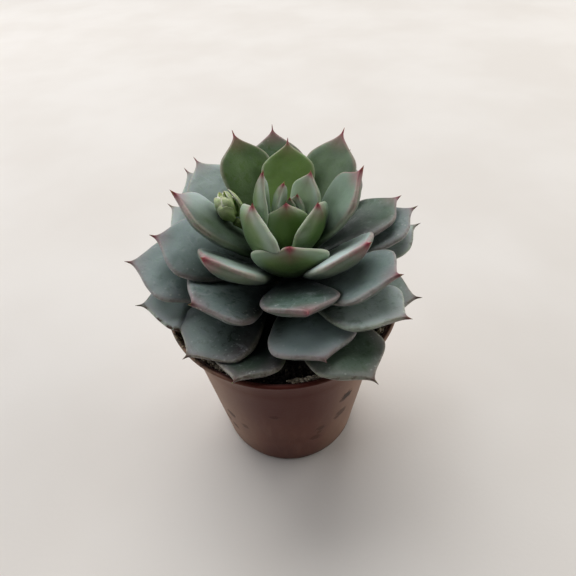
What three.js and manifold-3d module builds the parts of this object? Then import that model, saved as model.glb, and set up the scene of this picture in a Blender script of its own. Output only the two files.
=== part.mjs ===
// Potted succulent: a rosette of pointed, fleshy leaves on a short stem, with a young flower bud between
// the leaves, growing in a small nursery pot with a flared rim. Sizes are in millimetres.
// Origin: the centre of the pot's underside. +X points right, -Y to the front, +Z up.

import * as THREE from 'three';
import { mergeVertices } from 'three/addons/utils/BufferGeometryUtils.js';
import Module from 'manifold-3d';

const wasm = await Module();
wasm.setup();

// ---------------------------------------------------------------------------------------------------------
// Driving dimensions
// ---------------------------------------------------------------------------------------------------------

const CLEARANCE = 0.3; // between pieces that touch
const FACET_TOLERANCE = 0.02; // how far a cut piece's facets may stray

const POT = {
  height: 51.2,
  footRadius: 19.8,
  neckRadius: 24, // outside of the wall where it starts to flare
  neckHeight: 41,
  lipRadius: 27.5,
  flareCurve: 2, // a higher number keeps the flare closer to the rim
  flareSteps: 8,
  wall: 0.9,
  floor: 1.3,
  footEdge: 0.8, // rounding of the foot
  rimEdge: 0.3, // rounding of the rim
  holeCount: 4,
  holeRadius: 2.6,
  holeCircle: 12,
  holeSides: 16,
  sides: 44,
};

const SOIL = {
  edgeHeight: 45.6, // where it meets the wall
  moundHeight: 46.6, // beside the stem
  moundRadius: 9,
  moundDrop: 0.3, // from the stem to the mound's edge
  sides: 40,
};

const STEM = {
  sunk: 4, // below the soil's surface
  footRadius: 3.8,
  neckRadius: 3.6, // at the soil
  topHeight: 65,
  topRadius: 1.1,
  sides: 12,
};

// The plant leans a little: its axis stands here at the soil and moves this far on the way to its top.
const AXIS = { baseHeight: 46, rise: 20, baseX: 0, baseY: 0.5, leanX: 2.0, leanY: 1.2, most: 1.3 };

// Leaf roots sit on a cone around that axis, close together at the top and wider at the soil.
const ROOT_CONE = { topHeight: 64.5, topRadius: 1.3, bottomHeight: 46.5, bottomRadius: 3.7 };

// The outline and the section that every leaf shares. Places along a leaf are fractions of its length.
const LEAF = {
  rings: 10,
  sides: 10,
  ringSpread: 1.35, // above 1, the rings close up towards the point
  widestAt: 0.68,
  rootWidth: 3.6,
  rootShareMost: 0.45, // of the leaf's width
  shoulder: 3, // a higher number gives squarer shoulders
  cusp: 3.2, // a higher number gives a more drawn-out point
  thickestAt: 0.5,
  rootThickShare: 0.5,
  rootThickRound: 1.2,
  endThickRound: 2.8,
  endThickCusp: 1.05,
  fullFrom: 0.35, // trough and roll grow up to here
  hollowRound: 1.2, // how gently the trough starts
  flatFrom: 0.9, // and the trough fades out from here
  flatBy: 0.8,
  troughRound: 1.7,
  troughCentre: 0.45,
  upperShare: 0.4, // share of the thickness above the middle line
  upperRound: 1.05,
  keelRound: 1.1,
  tipWidth: 0.44,
  tipThickness: 0.42,
};

// The leaves, from the heart outwards. Each tier gives the values that its leaves share: thickness, curl of
// the leaf along its length (degrees) and depth of its trough. Each leaf has its turn about the axis (degrees
// from +X), its rise from level (degrees), the height of its root, its length and its width. A roll tips the
// leaf sideways (degrees), and a leaf may have its own shoulder and cusp.
const TIERS = [
  {
    name: 'heart_leaf', thick: 2.4, curl: 28, trough: 0.2, shoulder: 2.2, cusp: 1.9,
    leaves: [
      { turn: 63, rise: 87, root: 64.6, length: 10.5, width: 3.4, thick: 1.6, curl: 20 },
      { turn: 41, rise: 80.5, root: 64.4, length: 11.3, width: 5, thick: 1.6 },
      { turn: 158, rise: 95, root: 63.6, length: 16.2, width: 6.5, thick: 2 },
      { turn: 275, rise: 86.5, root: 62.4, length: 14.4, width: 9.2, thick: 2.6 },
      { turn: 36, rise: 72.5, root: 62.4, length: 18, width: 9.2, curl: 18 },
    ],
  },
  {
    name: 'inner_leaf', thick: 3.2, curl: 26, trough: 0.18,
    leaves: [
      {
        turn: 180, rise: 85, root: 60.8, length: 22, width: 8.2, thick: 2.6, trough: 0.3,
        shoulder: 2.4, cusp: 2.2,
      },
      { turn: 323, rise: 69, root: 61.4, length: 17.8, width: 13, roll: 4, shoulder: 2.4, cusp: 2.2 },
      {
        turn: 223, rise: 72, root: 60, length: 20, width: 15.6, curl: 44, roll: -16,
        shoulder: 2.4, cusp: 2.2,
      },
      { turn: 85, rise: 48.5, root: 60.2, length: 26, width: 12.3, curl: 12, trough: 0.12 },
      {
        turn: 274.5, rise: 58.5, root: 57.6, length: 18.5, width: 15.8, thick: 3.6, curl: 20, roll: -6,
        shoulder: 3.4, cusp: 2.4,
      },
    ],
  },
  {
    name: 'middle_leaf', thick: 3.6, curl: 10, trough: 0.13,
    leaves: [
      { turn: 5, rise: 57.5, root: 59.4, length: 26.5, width: 13, curl: 14, trough: 0.16 },
      { turn: 180, rise: 46, root: 58.6, length: 29, width: 14, curl: 12, roll: 8 },
      { turn: 323, rise: 43, root: 56.8, length: 24.8, width: 17, thick: 3.8, roll: -8 },
      { turn: 221, rise: 43, root: 56.2, length: 25, width: 15.5, thick: 3.8, roll: 8 },
      { turn: 116, rise: 47, root: 57, length: 32.6, width: 13.2, curl: 4, roll: 4 },
      { turn: 53, rise: 47.5, root: 56.2, length: 33.6, width: 13.4, curl: 6 },
    ],
  },
  {
    name: 'broad_leaf', thick: 3.8, curl: 6, trough: 0.1,
    leaves: [
      { turn: 279, rise: 26, root: 56.6, length: 24, width: 15.8 },
      { turn: 180, rise: 27.5, root: 55.2, length: 29.5, width: 17.5, curl: 2, roll: -8 },
      { turn: 326, rise: 29.5, root: 54, length: 28.5, width: 19.5, roll: -2 },
      { turn: 92.5, rise: 42, root: 54.2, length: 36.2, width: 15.5, thick: 3.6 },
      { turn: 220, rise: 25, root: 53.2, length: 24.6, width: 19.2, thick: 4 },
      { turn: 25.5, rise: 18, root: 56.6, length: 31.2, width: 15, thick: 3.5, curl: 0, roll: -12 },
      { turn: 131, rise: 32, root: 55, length: 35, width: 15.5, thick: 3.5, curl: 2, roll: -6 },
      { turn: 56.5, rise: 32.5, root: 52, length: 36.4, width: 15, thick: 3.5 },
    ],
  },
  {
    name: 'outer_leaf', thick: 3.6, curl: 0, trough: 0.08,
    leaves: [
      { turn: 285, rise: 16, root: 50.8, length: 26.5, width: 18.5, thick: 3.9, curl: 4 },
      { turn: 320, rise: 16, root: 52.6, length: 30.3, width: 18, curl: -4, roll: -8 },
      { turn: 183, rise: 20, root: 51.8, length: 34, width: 19, curl: -2, roll: -6 },
      { turn: 20, rise: 19, root: 53.2, length: 34.2, width: 16, curl: -2, roll: -8 },
      { turn: 133, rise: 29, root: 52, length: 37, width: 15.5, curl: 2, roll: -6 },
      { turn: 73, rise: 26.5, root: 50.6, length: 34, width: 15.5 },
      { turn: 108, rise: 25.5, root: 50.4, length: 34, width: 15.5 },
      { turn: 145, rise: 22.5, root: 50.2, length: 34.5, width: 15.5 },
      { turn: 91, rise: 21, root: 49, length: 33, width: 14.5 },
    ],
  },
  {
    name: 'lower_leaf', thick: 3.3, curl: 0, trough: 0.06,
    leaves: [
      { turn: 225.5, rise: 6, root: 50.6, length: 27.4, width: 19.2, curl: -12, trough: 0.1 },
      { turn: 250, rise: 14.5, root: 47.4, length: 27.6, width: 15.6, curl: 8, roll: 4 },
      { turn: 299.5, rise: 10.5, root: 48.6, length: 32, width: 17.5, curl: -10, roll: -3 },
      { turn: 340, rise: 16, root: 48.6, length: 29.6, width: 17 },
      { turn: 20, rise: 13.5, root: 50.4, length: 35.2, width: 15.5, curl: -2, roll: -6 },
      { turn: 44, rise: 15.5, root: 47.8, length: 32.5, width: 13.5 },
      { turn: 69, rise: 16.5, root: 47.9, length: 31.5, width: 13.5 },
      { turn: 116, rise: 16.5, root: 47.9, length: 31.5, width: 13.5 },
      { turn: 160, rise: 16.5, root: 48.4, length: 31, width: 14 },
      { turn: 194, rise: 13, root: 49, length: 31.4, width: 17, roll: -3 },
    ],
  },
];

// The young flower bud, its stalk, and the scales that are folded over it, each a little higher and closer
// in than the one before. A narrow bract stands beside them.
const BUD = {
  foot: new THREE.Vector3(-9.45, 3.2, 70.25),
  top: new THREE.Vector3(-12.3, 6.4, 75.3),
  coreRadius: 0.8,
  coreOutline: [[0.5, 0.02], [0.9, 0.25], [1, 0.5], [0.8, 0.78], [0.4, 0.95]], // shares of radius and length
  coreSides: 14,
  scaleCount: 8,
  firstTurn: 280, // degrees about the bud, of the lowest scale
  scaleTurn: 137.5, // from one scale to the next
  firstStep: -0.3, // along the bud, from its foot to the root of the lowest scale
  scaleStep: 0.35,
  firstRing: 1.3, // from the middle of the bud to the root of the lowest scale
  scaleRing: 0.09, // less for each next scale
};
const SCALE = {
  length: 4.5, width: 3.1, thick: 0.6, curl: 44, trough: 0.6, rise: 90, lean: -16,
  widest: 0.5, shoulder: 2.2, cusp: 0.62, rings: 8, sides: 10,
};
const BRACT = {
  length: 7, width: 1.2, thick: 0.5, curl: 50, trough: 0.3, rise: 92, lean: 0,
  shoulder: 1.4, cusp: 1, rings: 7, sides: 8, turn: 0, ring: 2.2, step: -0.9,
};
const STALK = {
  radius: 0.9,
  route: [
    new THREE.Vector3(0.3, 2, 60),
    new THREE.Vector3(-3.4, 3.6, 63.6),
    new THREE.Vector3(-6.6, 3.6, 67.2),
    new THREE.Vector3(-9.3, 2.9, 69.85),
  ],
  steps: 8,
  sides: 10,
};

// Dead root fibres that cling to the inside of the rim: where each run starts and ends (degrees from +X).
// They sway a little up and down as they go round.
const FIBRE = { radius: 0.35, belowRim: 1.4, sway: 0.3, waves: 1.4, sides: 6, steps: 14 };
const FIBRE_RUNS = [
  { name: 'root_fibre_front', from: 271, to: 296 },
  { name: 'root_fibre_left', from: 216, to: 248 },
  { name: 'root_fibre_right', from: 318, to: 344 },
];

// ---------------------------------------------------------------------------------------------------------
// Materials
// ---------------------------------------------------------------------------------------------------------

function finish(colour, roughness) {
  return new THREE.MeshStandardMaterial({ color: colour, roughness, metalness: 0 });
}

const tierFinish = {
  heart_leaf: finish('#93ad7f', 0.5),
  inner_leaf: finish('#93aa82', 0.5),
  middle_leaf: finish('#8fa78a', 0.5),
  broad_leaf: finish('#84988d', 0.52),
  outer_leaf: finish('#7b8d88', 0.55),
  lower_leaf: finish('#6f7f79', 0.55),
};
const potFinish = finish('#8a6a62', 0.6);
const soilFinish = finish('#2b2421', 0.95);
const stemFinish = finish('#7c7a5c', 0.75);
const budFinish = finish('#b6bf86', 0.6);
const scaleFinish = finish('#c3c99a', 0.6);
const fibreFinish = finish('#c9b48c', 0.85);

// ---------------------------------------------------------------------------------------------------------
// Solids: closed meshes joined and cut
// ---------------------------------------------------------------------------------------------------------

function solidOf(geometry) {
  const bare = geometry.clone();
  bare.deleteAttribute('normal');
  bare.deleteAttribute('uv');
  const merged = mergeVertices(bare, 1e-4);
  return new wasm.Manifold(new wasm.Mesh({
    numProp: 3,
    vertProperties: new Float32Array(merged.attributes.position.array),
    triVerts: new Uint32Array(merged.index.array),
  }));
}

function largestPiece(solid) {
  const pieces = solid.decompose();
  const largest = pieces.reduce((best, piece) => (piece.volume() > best.volume() ? piece : best));
  return largest.simplify(FACET_TOLERANCE);
}

function geometryOf(solid) {
  const mesh = solid.getMesh();
  const geometry = new THREE.BufferGeometry();
  geometry.setAttribute('position', new THREE.BufferAttribute(mesh.vertProperties, 3));
  geometry.setIndex(new THREE.BufferAttribute(mesh.triVerts, 1));
  geometry.computeVertexNormals();
  return geometry;
}

function latheUpright(profile, sides) {
  const points = profile.map(([radius, height]) => new THREE.Vector2(radius, height));
  return new THREE.LatheGeometry(points, sides).rotateX(Math.PI / 2);
}

// ---------------------------------------------------------------------------------------------------------
// Leaves
// ---------------------------------------------------------------------------------------------------------

const clamp = THREE.MathUtils.clamp;
const radians = THREE.MathUtils.degToRad;

function axisAt(height) {
  const share = clamp((height - AXIS.baseHeight) / AXIS.rise, 0, AXIS.most);
  return { x: AXIS.baseX + AXIS.leanX * share, y: AXIS.baseY + AXIS.leanY * share };
}

function rootRadius(height) {
  const share = (ROOT_CONE.topHeight - height) / (ROOT_CONE.topHeight - ROOT_CONE.bottomHeight);
  return ROOT_CONE.topRadius + (ROOT_CONE.bottomRadius - ROOT_CONE.topRadius) * share;
}

// The outline: a narrow root that swells to the widest place, then round shoulders and a drawn-out point.
function widthShare(along, rootShare, widest, shoulder, cusp) {
  if (along < widest) {
    const swell = Math.sin((Math.PI / 2) * (along / widest)) ** 2;
    return rootShare + (1 - rootShare) * swell;
  }
  const past = (along - widest) / (1 - widest);
  return (1 - past ** shoulder) ** cusp;
}

// The thickness: less at the root, full at mid-length, and thin only close to the point.
function thickShare(along) {
  if (along < LEAF.thickestAt) {
    const swell = Math.sin((Math.PI / 2) * (along / LEAF.thickestAt)) ** LEAF.rootThickRound;
    return LEAF.rootThickShare + (1 - LEAF.rootThickShare) * swell;
  }
  const past = (along - LEAF.thickestAt) / (1 - LEAF.thickestAt);
  return (1 - past ** LEAF.endThickRound) ** LEAF.endThickCusp;
}

// One leaf as a closed skin: rings of points along an arc, each ring a lens with sharp margins. The middle is
// hollowed into a trough above and keeled below. grow swells the leaf on all sides.
function leafGeometry({
  length, width, thick, curl = 0, trough, roll = 0, grow = 0,
  widest = LEAF.widestAt, shoulder = LEAF.shoulder, cusp = LEAF.cusp, rings = LEAF.rings, sides = LEAF.sides,
}) {
  const bend = radians(Math.abs(curl) < 0.1 ? 0.1 : curl);
  const arc = length / (2 * Math.sin(bend / 2));
  const rootShare = Math.min(LEAF.rootWidth / width, LEAF.rootShareMost);
  const positions = [];
  const centres = [];
  for (let ring = 0; ring < rings; ring += 1) {
    const along = 1 - (1 - ring / (rings - 1)) ** LEAF.ringSpread;
    const angle = bend * (along - 0.5);
    const centreX = arc * (Math.sin(angle) + Math.sin(bend / 2));
    const centreZ = arc * (Math.cos(bend / 2) - Math.cos(angle));
    const halfWidth = Math.max((width / 2) * widthShare(along, rootShare, widest, shoulder, cusp), LEAF.tipWidth / 2);
    const depth = Math.max(thick * thickShare(along), LEAF.tipThickness);
    const full = Math.min(1, along / LEAF.fullFrom);
    const flat = clamp((along - LEAF.flatFrom) / (1 - LEAF.flatFrom), 0, 1);
    const hollow = trough * halfWidth * full ** LEAF.hollowRound * (1 - LEAF.flatBy * flat);
    const tip = radians(roll) * full;
    centres.push([centreX, 0, centreZ]);
    for (let side = 0; side < sides; side += 1) {
      const around = (2 * Math.PI * side) / sides;
      const across = Math.cos(around);
      const belly = Math.abs(Math.sin(around));
      const middle = hollow * (Math.abs(across) ** LEAF.troughRound - LEAF.troughCentre);
      const upper = Math.sin(around) >= 0;
      const lift = upper
        ? (LEAF.upperShare * depth + grow) * belly ** LEAF.upperRound
        : -((1 - LEAF.upperShare) * depth + grow) * belly ** LEAF.keelRound;
      const y = (halfWidth + grow) * across;
      const z = middle + lift;
      const tippedY = y * Math.cos(tip) - z * Math.sin(tip);
      const tippedZ = y * Math.sin(tip) + z * Math.cos(tip);
      positions.push(centreX - Math.sin(angle) * tippedZ, tippedY, centreZ + Math.cos(angle) * tippedZ);
    }
  }
  const triangles = [];
  for (let ring = 0; ring < rings - 1; ring += 1) {
    for (let side = 0; side < sides; side += 1) {
      const next = (side + 1) % sides;
      const a = ring * sides + side;
      const b = ring * sides + next;
      const c = (ring + 1) * sides + next;
      const d = (ring + 1) * sides + side;
      triangles.push(a, b, c, a, c, d);
    }
  }
  const rootCentre = positions.length / 3;
  const tipCentre = rootCentre + 1;
  const lastRing = (rings - 1) * sides;
  positions.push(centres[0][0] - grow, 0, centres[0][2]);
  positions.push(centres[rings - 1][0] + grow, 0, centres[rings - 1][2]);
  for (let side = 0; side < sides; side += 1) {
    const next = (side + 1) % sides;
    triangles.push(rootCentre, next, side);
    triangles.push(tipCentre, lastRing + side, lastRing + next);
  }
  const geometry = new THREE.BufferGeometry();
  geometry.setAttribute('position', new THREE.Float32BufferAttribute(positions, 3));
  geometry.setIndex(triangles);
  return geometry;
}

// Stands a leaf on the plant's axis: raised, moved out to its root, turned, and lifted to its root height.
function leafOnPlant(leaf, grow = 0) {
  const axis = axisAt(leaf.root);
  return leafGeometry({ ...leaf, grow })
    .rotateY(-radians(leaf.rise))
    .translate(rootRadius(leaf.root), 0, 0)
    .rotateZ(radians(leaf.turn))
    .translate(axis.x, axis.y, leaf.root);
}

const leaves = TIERS.flatMap(({ name, leaves: list, ...shared }) => list.map((own, index) => ({
  name: `${name}_${index + 1}`, tier: name, ...shared, ...own,
})));

for (const leaf of leaves) {
  leaf.solid = solidOf(leafOnPlant(leaf));
  leaf.grown = solidOf(leafOnPlant(leaf, CLEARANCE));
}

// Where two leaves press on each other, the outer one is dented by the inner one.
leaves.forEach((leaf, index) => {
  for (const inner of leaves.slice(0, index)) {
    if (leaf.solid.intersect(inner.solid).volume() > 0) {
      leaf.solid = largestPiece(leaf.solid.subtract(inner.grown));
    }
  }
});

// ---------------------------------------------------------------------------------------------------------
// Pot, soil, stem and the bud's stalk
// ---------------------------------------------------------------------------------------------------------

// The outside radius of the pot's wall at a height: a straight taper, then a flare that opens to the lip.
function outsideRadius(height) {
  const taper = POT.footRadius + (POT.neckRadius - POT.footRadius) * (height / POT.neckHeight);
  if (height <= POT.neckHeight) return taper;
  const share = (height - POT.neckHeight) / (POT.height - POT.neckHeight);
  return POT.neckRadius + (POT.lipRadius - POT.neckRadius) * share ** POT.flareCurve;
}

function insideRadius(height) {
  return outsideRadius(height) - POT.wall;
}

function potSolid() {
  const flare = [];
  for (let step = 0; step <= POT.flareSteps; step += 1) {
    flare.push(POT.neckHeight + (POT.height - POT.rimEdge - POT.neckHeight) * (step / POT.flareSteps));
  }
  const shell = solidOf(latheUpright([
    [0, 0],
    [outsideRadius(POT.footEdge) - POT.footEdge, 0],
    [outsideRadius(POT.footEdge) - 0.3 * POT.footEdge, 0.3 * POT.footEdge],
    [outsideRadius(POT.footEdge), POT.footEdge],
    ...flare.map((height) => [outsideRadius(height), height]),
    [POT.lipRadius - POT.rimEdge, POT.height],
    [POT.lipRadius - POT.wall, POT.height],
    ...flare.toReversed().map((height) => [insideRadius(height), height]),
    [insideRadius(POT.floor + POT.footEdge), POT.floor + POT.footEdge],
    [insideRadius(POT.floor) - POT.footEdge, POT.floor],
    [0, POT.floor],
  ], POT.sides));
  let pot = shell;
  for (let hole = 0; hole < POT.holeCount; hole += 1) {
    const angle = ((hole + 0.5) * 2 * Math.PI) / POT.holeCount;
    const drill = new THREE.CylinderGeometry(POT.holeRadius, POT.holeRadius, 4 * POT.floor, POT.holeSides)
      .rotateX(Math.PI / 2)
      .translate(POT.holeCircle * Math.cos(angle), POT.holeCircle * Math.sin(angle), POT.floor / 2);
    pot = pot.subtract(solidOf(drill));
  }
  return pot;
}

function soilSolid() {
  const bottom = POT.floor + CLEARANCE;
  const pocketFloor = AXIS.baseHeight - STEM.sunk - CLEARANCE;
  const pocketRadius = STEM.footRadius + CLEARANCE;
  const pocketHeight = 2 * STEM.sunk;
  const pocket = new THREE.CylinderGeometry(pocketRadius, pocketRadius, pocketHeight, STEM.sides)
    .rotateX(Math.PI / 2)
    .translate(AXIS.baseX, AXIS.baseY, pocketFloor + pocketHeight / 2);
  const fill = latheUpright([
    [0, bottom],
    [insideRadius(bottom) - POT.footEdge - CLEARANCE, bottom],
    [insideRadius(bottom + POT.footEdge) - CLEARANCE, bottom + POT.footEdge],
    [insideRadius(POT.neckHeight) - CLEARANCE, POT.neckHeight],
    [insideRadius(SOIL.edgeHeight) - CLEARANCE, SOIL.edgeHeight],
    [SOIL.moundRadius, SOIL.moundHeight - SOIL.moundDrop],
    [0, SOIL.moundHeight],
  ], SOIL.sides);
  return solidOf(fill).subtract(solidOf(pocket));
}

function roundTube(curve, radius, steps, sides) {
  const section = new THREE.Shape();
  for (let side = 0; side < sides; side += 1) {
    const angle = (2 * Math.PI * side) / sides;
    section[side === 0 ? 'moveTo' : 'lineTo'](radius * Math.cos(angle), radius * Math.sin(angle));
  }
  section.closePath();
  return new THREE.ExtrudeGeometry(section, { steps, extrudePath: curve, curveSegments: 1 });
}

// The stalk of the bud as a plain tube. grow swells it on all sides and pushes its foot back.
function stalkTube(grow = 0) {
  const [foot, next] = STALK.route;
  const pushedFoot = foot.clone().add(foot.clone().sub(next).setLength(grow));
  const route = new THREE.CatmullRomCurve3([pushedFoot, ...STALK.route.slice(1)]);
  return solidOf(roundTube(route, STALK.radius + grow, STALK.steps, STALK.sides));
}

function socketedAmongLeaves(solid) {
  return leaves.reduce((rest, leaf) => rest.subtract(leaf.grown), solid);
}

function stemSolid() {
  const foot = AXIS.baseHeight - STEM.sunk;
  const shoulder = STEM.topHeight - 3 * STEM.topRadius;
  const geometry = latheUpright([
    [0, foot],
    [STEM.footRadius, foot],
    [STEM.neckRadius, AXIS.baseHeight],
    [rootRadius(shoulder), shoulder],
    [STEM.topRadius, STEM.topHeight - STEM.topRadius / 2],
    [0, STEM.topHeight],
  ], STEM.sides);
  const place = geometry.attributes.position;
  for (let index = 0; index < place.count; index += 1) {
    const axis = axisAt(place.getZ(index));
    place.setX(index, place.getX(index) + axis.x);
    place.setY(index, place.getY(index) + axis.y);
  }
  return largestPiece(socketedAmongLeaves(solidOf(geometry)).subtract(stalkTube(CLEARANCE)));
}

// ---------------------------------------------------------------------------------------------------------
// Flower bud and root fibres
// ---------------------------------------------------------------------------------------------------------

const budLine = new THREE.Vector3().subVectors(BUD.top, BUD.foot);
const budTurn = new THREE.Quaternion().setFromUnitVectors(
  new THREE.Vector3(0, 0, 1),
  budLine.clone().normalize(),
);

function onBud(geometry) {
  return geometry.applyQuaternion(budTurn).translate(BUD.foot.x, BUD.foot.y, BUD.foot.z);
}

function budCoreGeometry(grow = 0) {
  const length = budLine.length();
  const outline = BUD.coreOutline.map(([radius, height]) => [radius * BUD.coreRadius + grow, height * length]);
  return onBud(latheUpright([[0, -grow], ...outline, [0, length + grow]], BUD.coreSides));
}

function scaleOnBud(scale, turn, ring, step, grow) {
  return onBud(leafGeometry({ ...scale, grow })
    .rotateZ(radians(scale.lean))
    .rotateY(-radians(scale.rise))
    .translate(ring, 0, step)
    .rotateZ(radians(turn)));
}

// The bud's pieces from the middle outwards. Each is dented by the ones inside it.
const budPieces = [{ name: 'flower_bud', shape: budCoreGeometry, finish: budFinish }];
for (let index = BUD.scaleCount - 1; index >= 0; index -= 1) {
  const turn = BUD.firstTurn + BUD.scaleTurn * index;
  const ring = BUD.firstRing - BUD.scaleRing * index;
  const step = BUD.firstStep + BUD.scaleStep * index;
  budPieces.push({
    name: `bud_scale_${index + 1}`,
    shape: (grow = 0) => scaleOnBud(SCALE, turn, ring, step, grow),
    finish: scaleFinish,
  });
}
budPieces.push({
  name: 'bud_bract',
  shape: (grow = 0) => scaleOnBud(BRACT, BRACT.turn, BRACT.ring, BRACT.step, grow),
  finish: scaleFinish,
});
budPieces.forEach((piece, index) => {
  let solid = socketedAmongLeaves(solidOf(piece.shape())).subtract(stalkTube(CLEARANCE));
  for (const inner of budPieces.slice(0, index)) {
    solid = solid.subtract(solidOf(inner.shape(CLEARANCE)));
  }
  piece.solid = largestPiece(solid);
});

function fibreGeometry({ from, to }) {
  const points = [];
  for (let step = 0; step <= FIBRE.steps; step += 1) {
    const share = step / FIBRE.steps;
    const angle = radians(from + (to - from) * share);
    const sway = FIBRE.sway * Math.sin(2 * Math.PI * FIBRE.waves * share + from);
    const height = POT.height - FIBRE.belowRim + sway;
    const radius = insideRadius(height) - FIBRE.radius - 2 * CLEARANCE;
    points.push(new THREE.Vector3(radius * Math.cos(angle), radius * Math.sin(angle), height));
  }
  return roundTube(new THREE.CatmullRomCurve3(points), FIBRE.radius, FIBRE.steps, FIBRE.sides);
}

// ---------------------------------------------------------------------------------------------------------
// The plant in its pot
// ---------------------------------------------------------------------------------------------------------

const succulent = new THREE.Group();

function addPiece(name, geometry, material) {
  const mesh = new THREE.Mesh(geometry, material);
  mesh.name = name;
  succulent.add(mesh);
}

addPiece('pot', geometryOf(potSolid()), potFinish);
addPiece('potting_soil', geometryOf(soilSolid()), soilFinish);
addPiece('stem', geometryOf(stemSolid()), stemFinish);
for (const leaf of leaves) {
  addPiece(leaf.name, geometryOf(leaf.solid), tierFinish[leaf.tier]);
}
addPiece('bud_stalk', geometryOf(largestPiece(socketedAmongLeaves(stalkTube()))), stemFinish);
for (const piece of budPieces) {
  addPiece(piece.name, geometryOf(piece.solid), piece.finish);
}
for (const run of FIBRE_RUNS) {
  addPiece(run.name, fibreGeometry(run), fibreFinish);
}

export default succulent;
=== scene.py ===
import math
from functools import partial

import bpy
import numpy as np
from mathutils import Matrix, Vector
from mathutils.bvhtree import BVHTree


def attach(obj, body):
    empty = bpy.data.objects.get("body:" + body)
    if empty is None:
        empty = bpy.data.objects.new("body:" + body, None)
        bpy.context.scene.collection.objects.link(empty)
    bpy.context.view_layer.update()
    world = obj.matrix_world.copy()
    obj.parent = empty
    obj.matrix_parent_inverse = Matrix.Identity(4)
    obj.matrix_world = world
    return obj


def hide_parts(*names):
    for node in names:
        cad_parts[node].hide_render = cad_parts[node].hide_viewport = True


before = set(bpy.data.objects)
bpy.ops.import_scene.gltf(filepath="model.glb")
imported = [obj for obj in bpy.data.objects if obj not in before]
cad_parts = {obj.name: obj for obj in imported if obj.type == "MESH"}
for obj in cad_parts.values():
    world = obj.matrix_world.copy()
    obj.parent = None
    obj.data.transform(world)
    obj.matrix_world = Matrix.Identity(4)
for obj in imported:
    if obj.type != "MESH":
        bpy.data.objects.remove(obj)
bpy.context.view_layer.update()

# Potted succulent: a rosette of pointed, fleshy leaves with a young flower bud, in a small nursery pot.
# Sizes are in millimetres and angles in degrees. Every finished mesh is scaled to metres by MM.

MM = 0.001
scene = bpy.context.scene

# ------------------------------------------------------------
# Sizes of the plant and its pot
# ------------------------------------------------------------

POT = {
    "height": 51.2, "foot": 19.8, "neck": 24.0, "neck height": 41.0, "lip": 27.5, "flare": 2.0,
    "wall": 0.9, "floor": 1.3, "foot edge": 0.8, "foot bevel": 0.3, "underside rings": (6, 1.6),
    "lip round": 0.45, "lip steps": 8, "sides": 144, "flare steps": 22, "wall steps": 26, "crisp from": 40,
    "holes": 4, "hole": 2.6, "hole circle": 12, "hole sides": 48, "drill from": -3, "drill to": 5,
}
# Specks of dried soil on the pot's wall: angle from +X, height, size and darkness.
POT_SPECKS = [
    (309, 31.2, 1.4, 0.95), (306.5, 30.4, 0.9, 0.69), (307.5, 22.3, 1.4, 0.63), (305, 21.2, 0.9, 0.57),
    (292, 19.5, 1.0, 0.46), (288.8, 14.2, 1.2, 0.4), (290.8, 17.0, 0.8, 0.34), (226, 21.2, 1.2, 0.69),
    (223.5, 12.6, 1.0, 0.63), (236.6, 18.6, 0.9, 0.46), (261, 30.5, 0.9, 0.4), (217, 14.5, 1.0, 0.69),
    (62, 33.0, 1.4, 0.69), (80, 17.5, 1.0, 0.57), (118, 26.0, 1.2, 0.52), (151, 36.0, 0.9, 0.57),
    (12, 24.0, 1.2, 0.57), (338, 12.0, 1.0, 0.57), (175, 9.0, 1.4, 0.52),
]
# The soil rises from its edge to a low mound. Below, it stands a little off the pot's wall and floor.
SOIL = {
    "edge": 45.6, "top": 46.6, "mound": 9.0, "drop": 0.3, "edge gap": 0.25, "gap": 0.3, "foot round": 1.2,
    "side from": 8, "side to": 44, "side steps": 6, "sides": 120, "rings": 34,
}
PEAT_INPUTS = {
    "Top From": 44.5, "Unevenness": 1.3, "Crumbs": 2.2, "Smallest": 0.18, "Largest": 0.75, "Seed": 4,
}
STEM_INPUTS = {
    "Foot": 42.0, "Top": 63.6, "Foot Radius": 3.7, "Top Radius": 1.2, "Sides": 36, "Rings": 60,
    "Scar Step": 1.6, "Scar Depth": 0.16,
}
# The plant's axis leans as it rises, and the leaf roots stand on a cone about it.
AXIS = {"base": 46.0, "rise": 20.0, "x": 0.0, "y": 0.5, "lean x": 2.0, "lean y": 1.2, "most": 1.3}
ROOT_CONE = {"top": 64.5, "top radius": 1.3, "bottom": 46.5, "bottom radius": 3.7}

# The leaf tree's inputs: the sizes that each leaf gives, what every leaf shares, and how a leaf looks.
# Places along a leaf are shares of its length. A leaf's own numbers have the same names in small letters.
LEAF_SIZES = {"Length": 30.0, "Width": 15.0, "Thick": 3.0, "Curl": 6.0, "Trough": 0.2, "Roll": 0.0}
LEAF_SHARED = {
    "Rings": 74, "Sides": 56, "Ring Spread": 1.5, "Widest At": 0.68, "Root Width": 3.6,
    "Root Share Most": 0.45, "Shoulder": 3.0, "Cusp": 3.2, "Thickest At": 0.5, "Root Thick Share": 0.5,
    "Full From": 0.35, "Flat From": 0.9, "Flat By": 0.8, "Trough Round": 1.7, "Trough Centre": 0.45,
    "Upper Share": 0.4, "Upper Square": 3.0, "Lower Square": 2.4, "Keel": 0.1, "Point Length": 2.2,
    "Point Width": 0.52, "Ripple": 0.3,
}
# Fresh is how green it is, Bloom how much wax it carries, Blush how pink its margins are, Age how dark its
# point is, Wear how rubbed the wax is, Crust how brown and dry the margins are, Deep how far the painted
# shade of darker green reaches from the root, and Side how much further that painted shade reaches on one
# side.
LEAF_LOOKS = {
    "Fresh": 0.5, "Bloom": 0.5, "Blush": 0.5, "Age": 0.5, "Wear": 0.5, "Crust": 0.5, "Deep": 0.7, "Side": 0.0,
}
LEAF_INPUTS = {**LEAF_SIZES, **LEAF_SHARED, **LEAF_LOOKS}
STRAIGHT = 0.1  # the least curl, which stands for none
LEAF_SEED_STEP = 1.37

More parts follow.
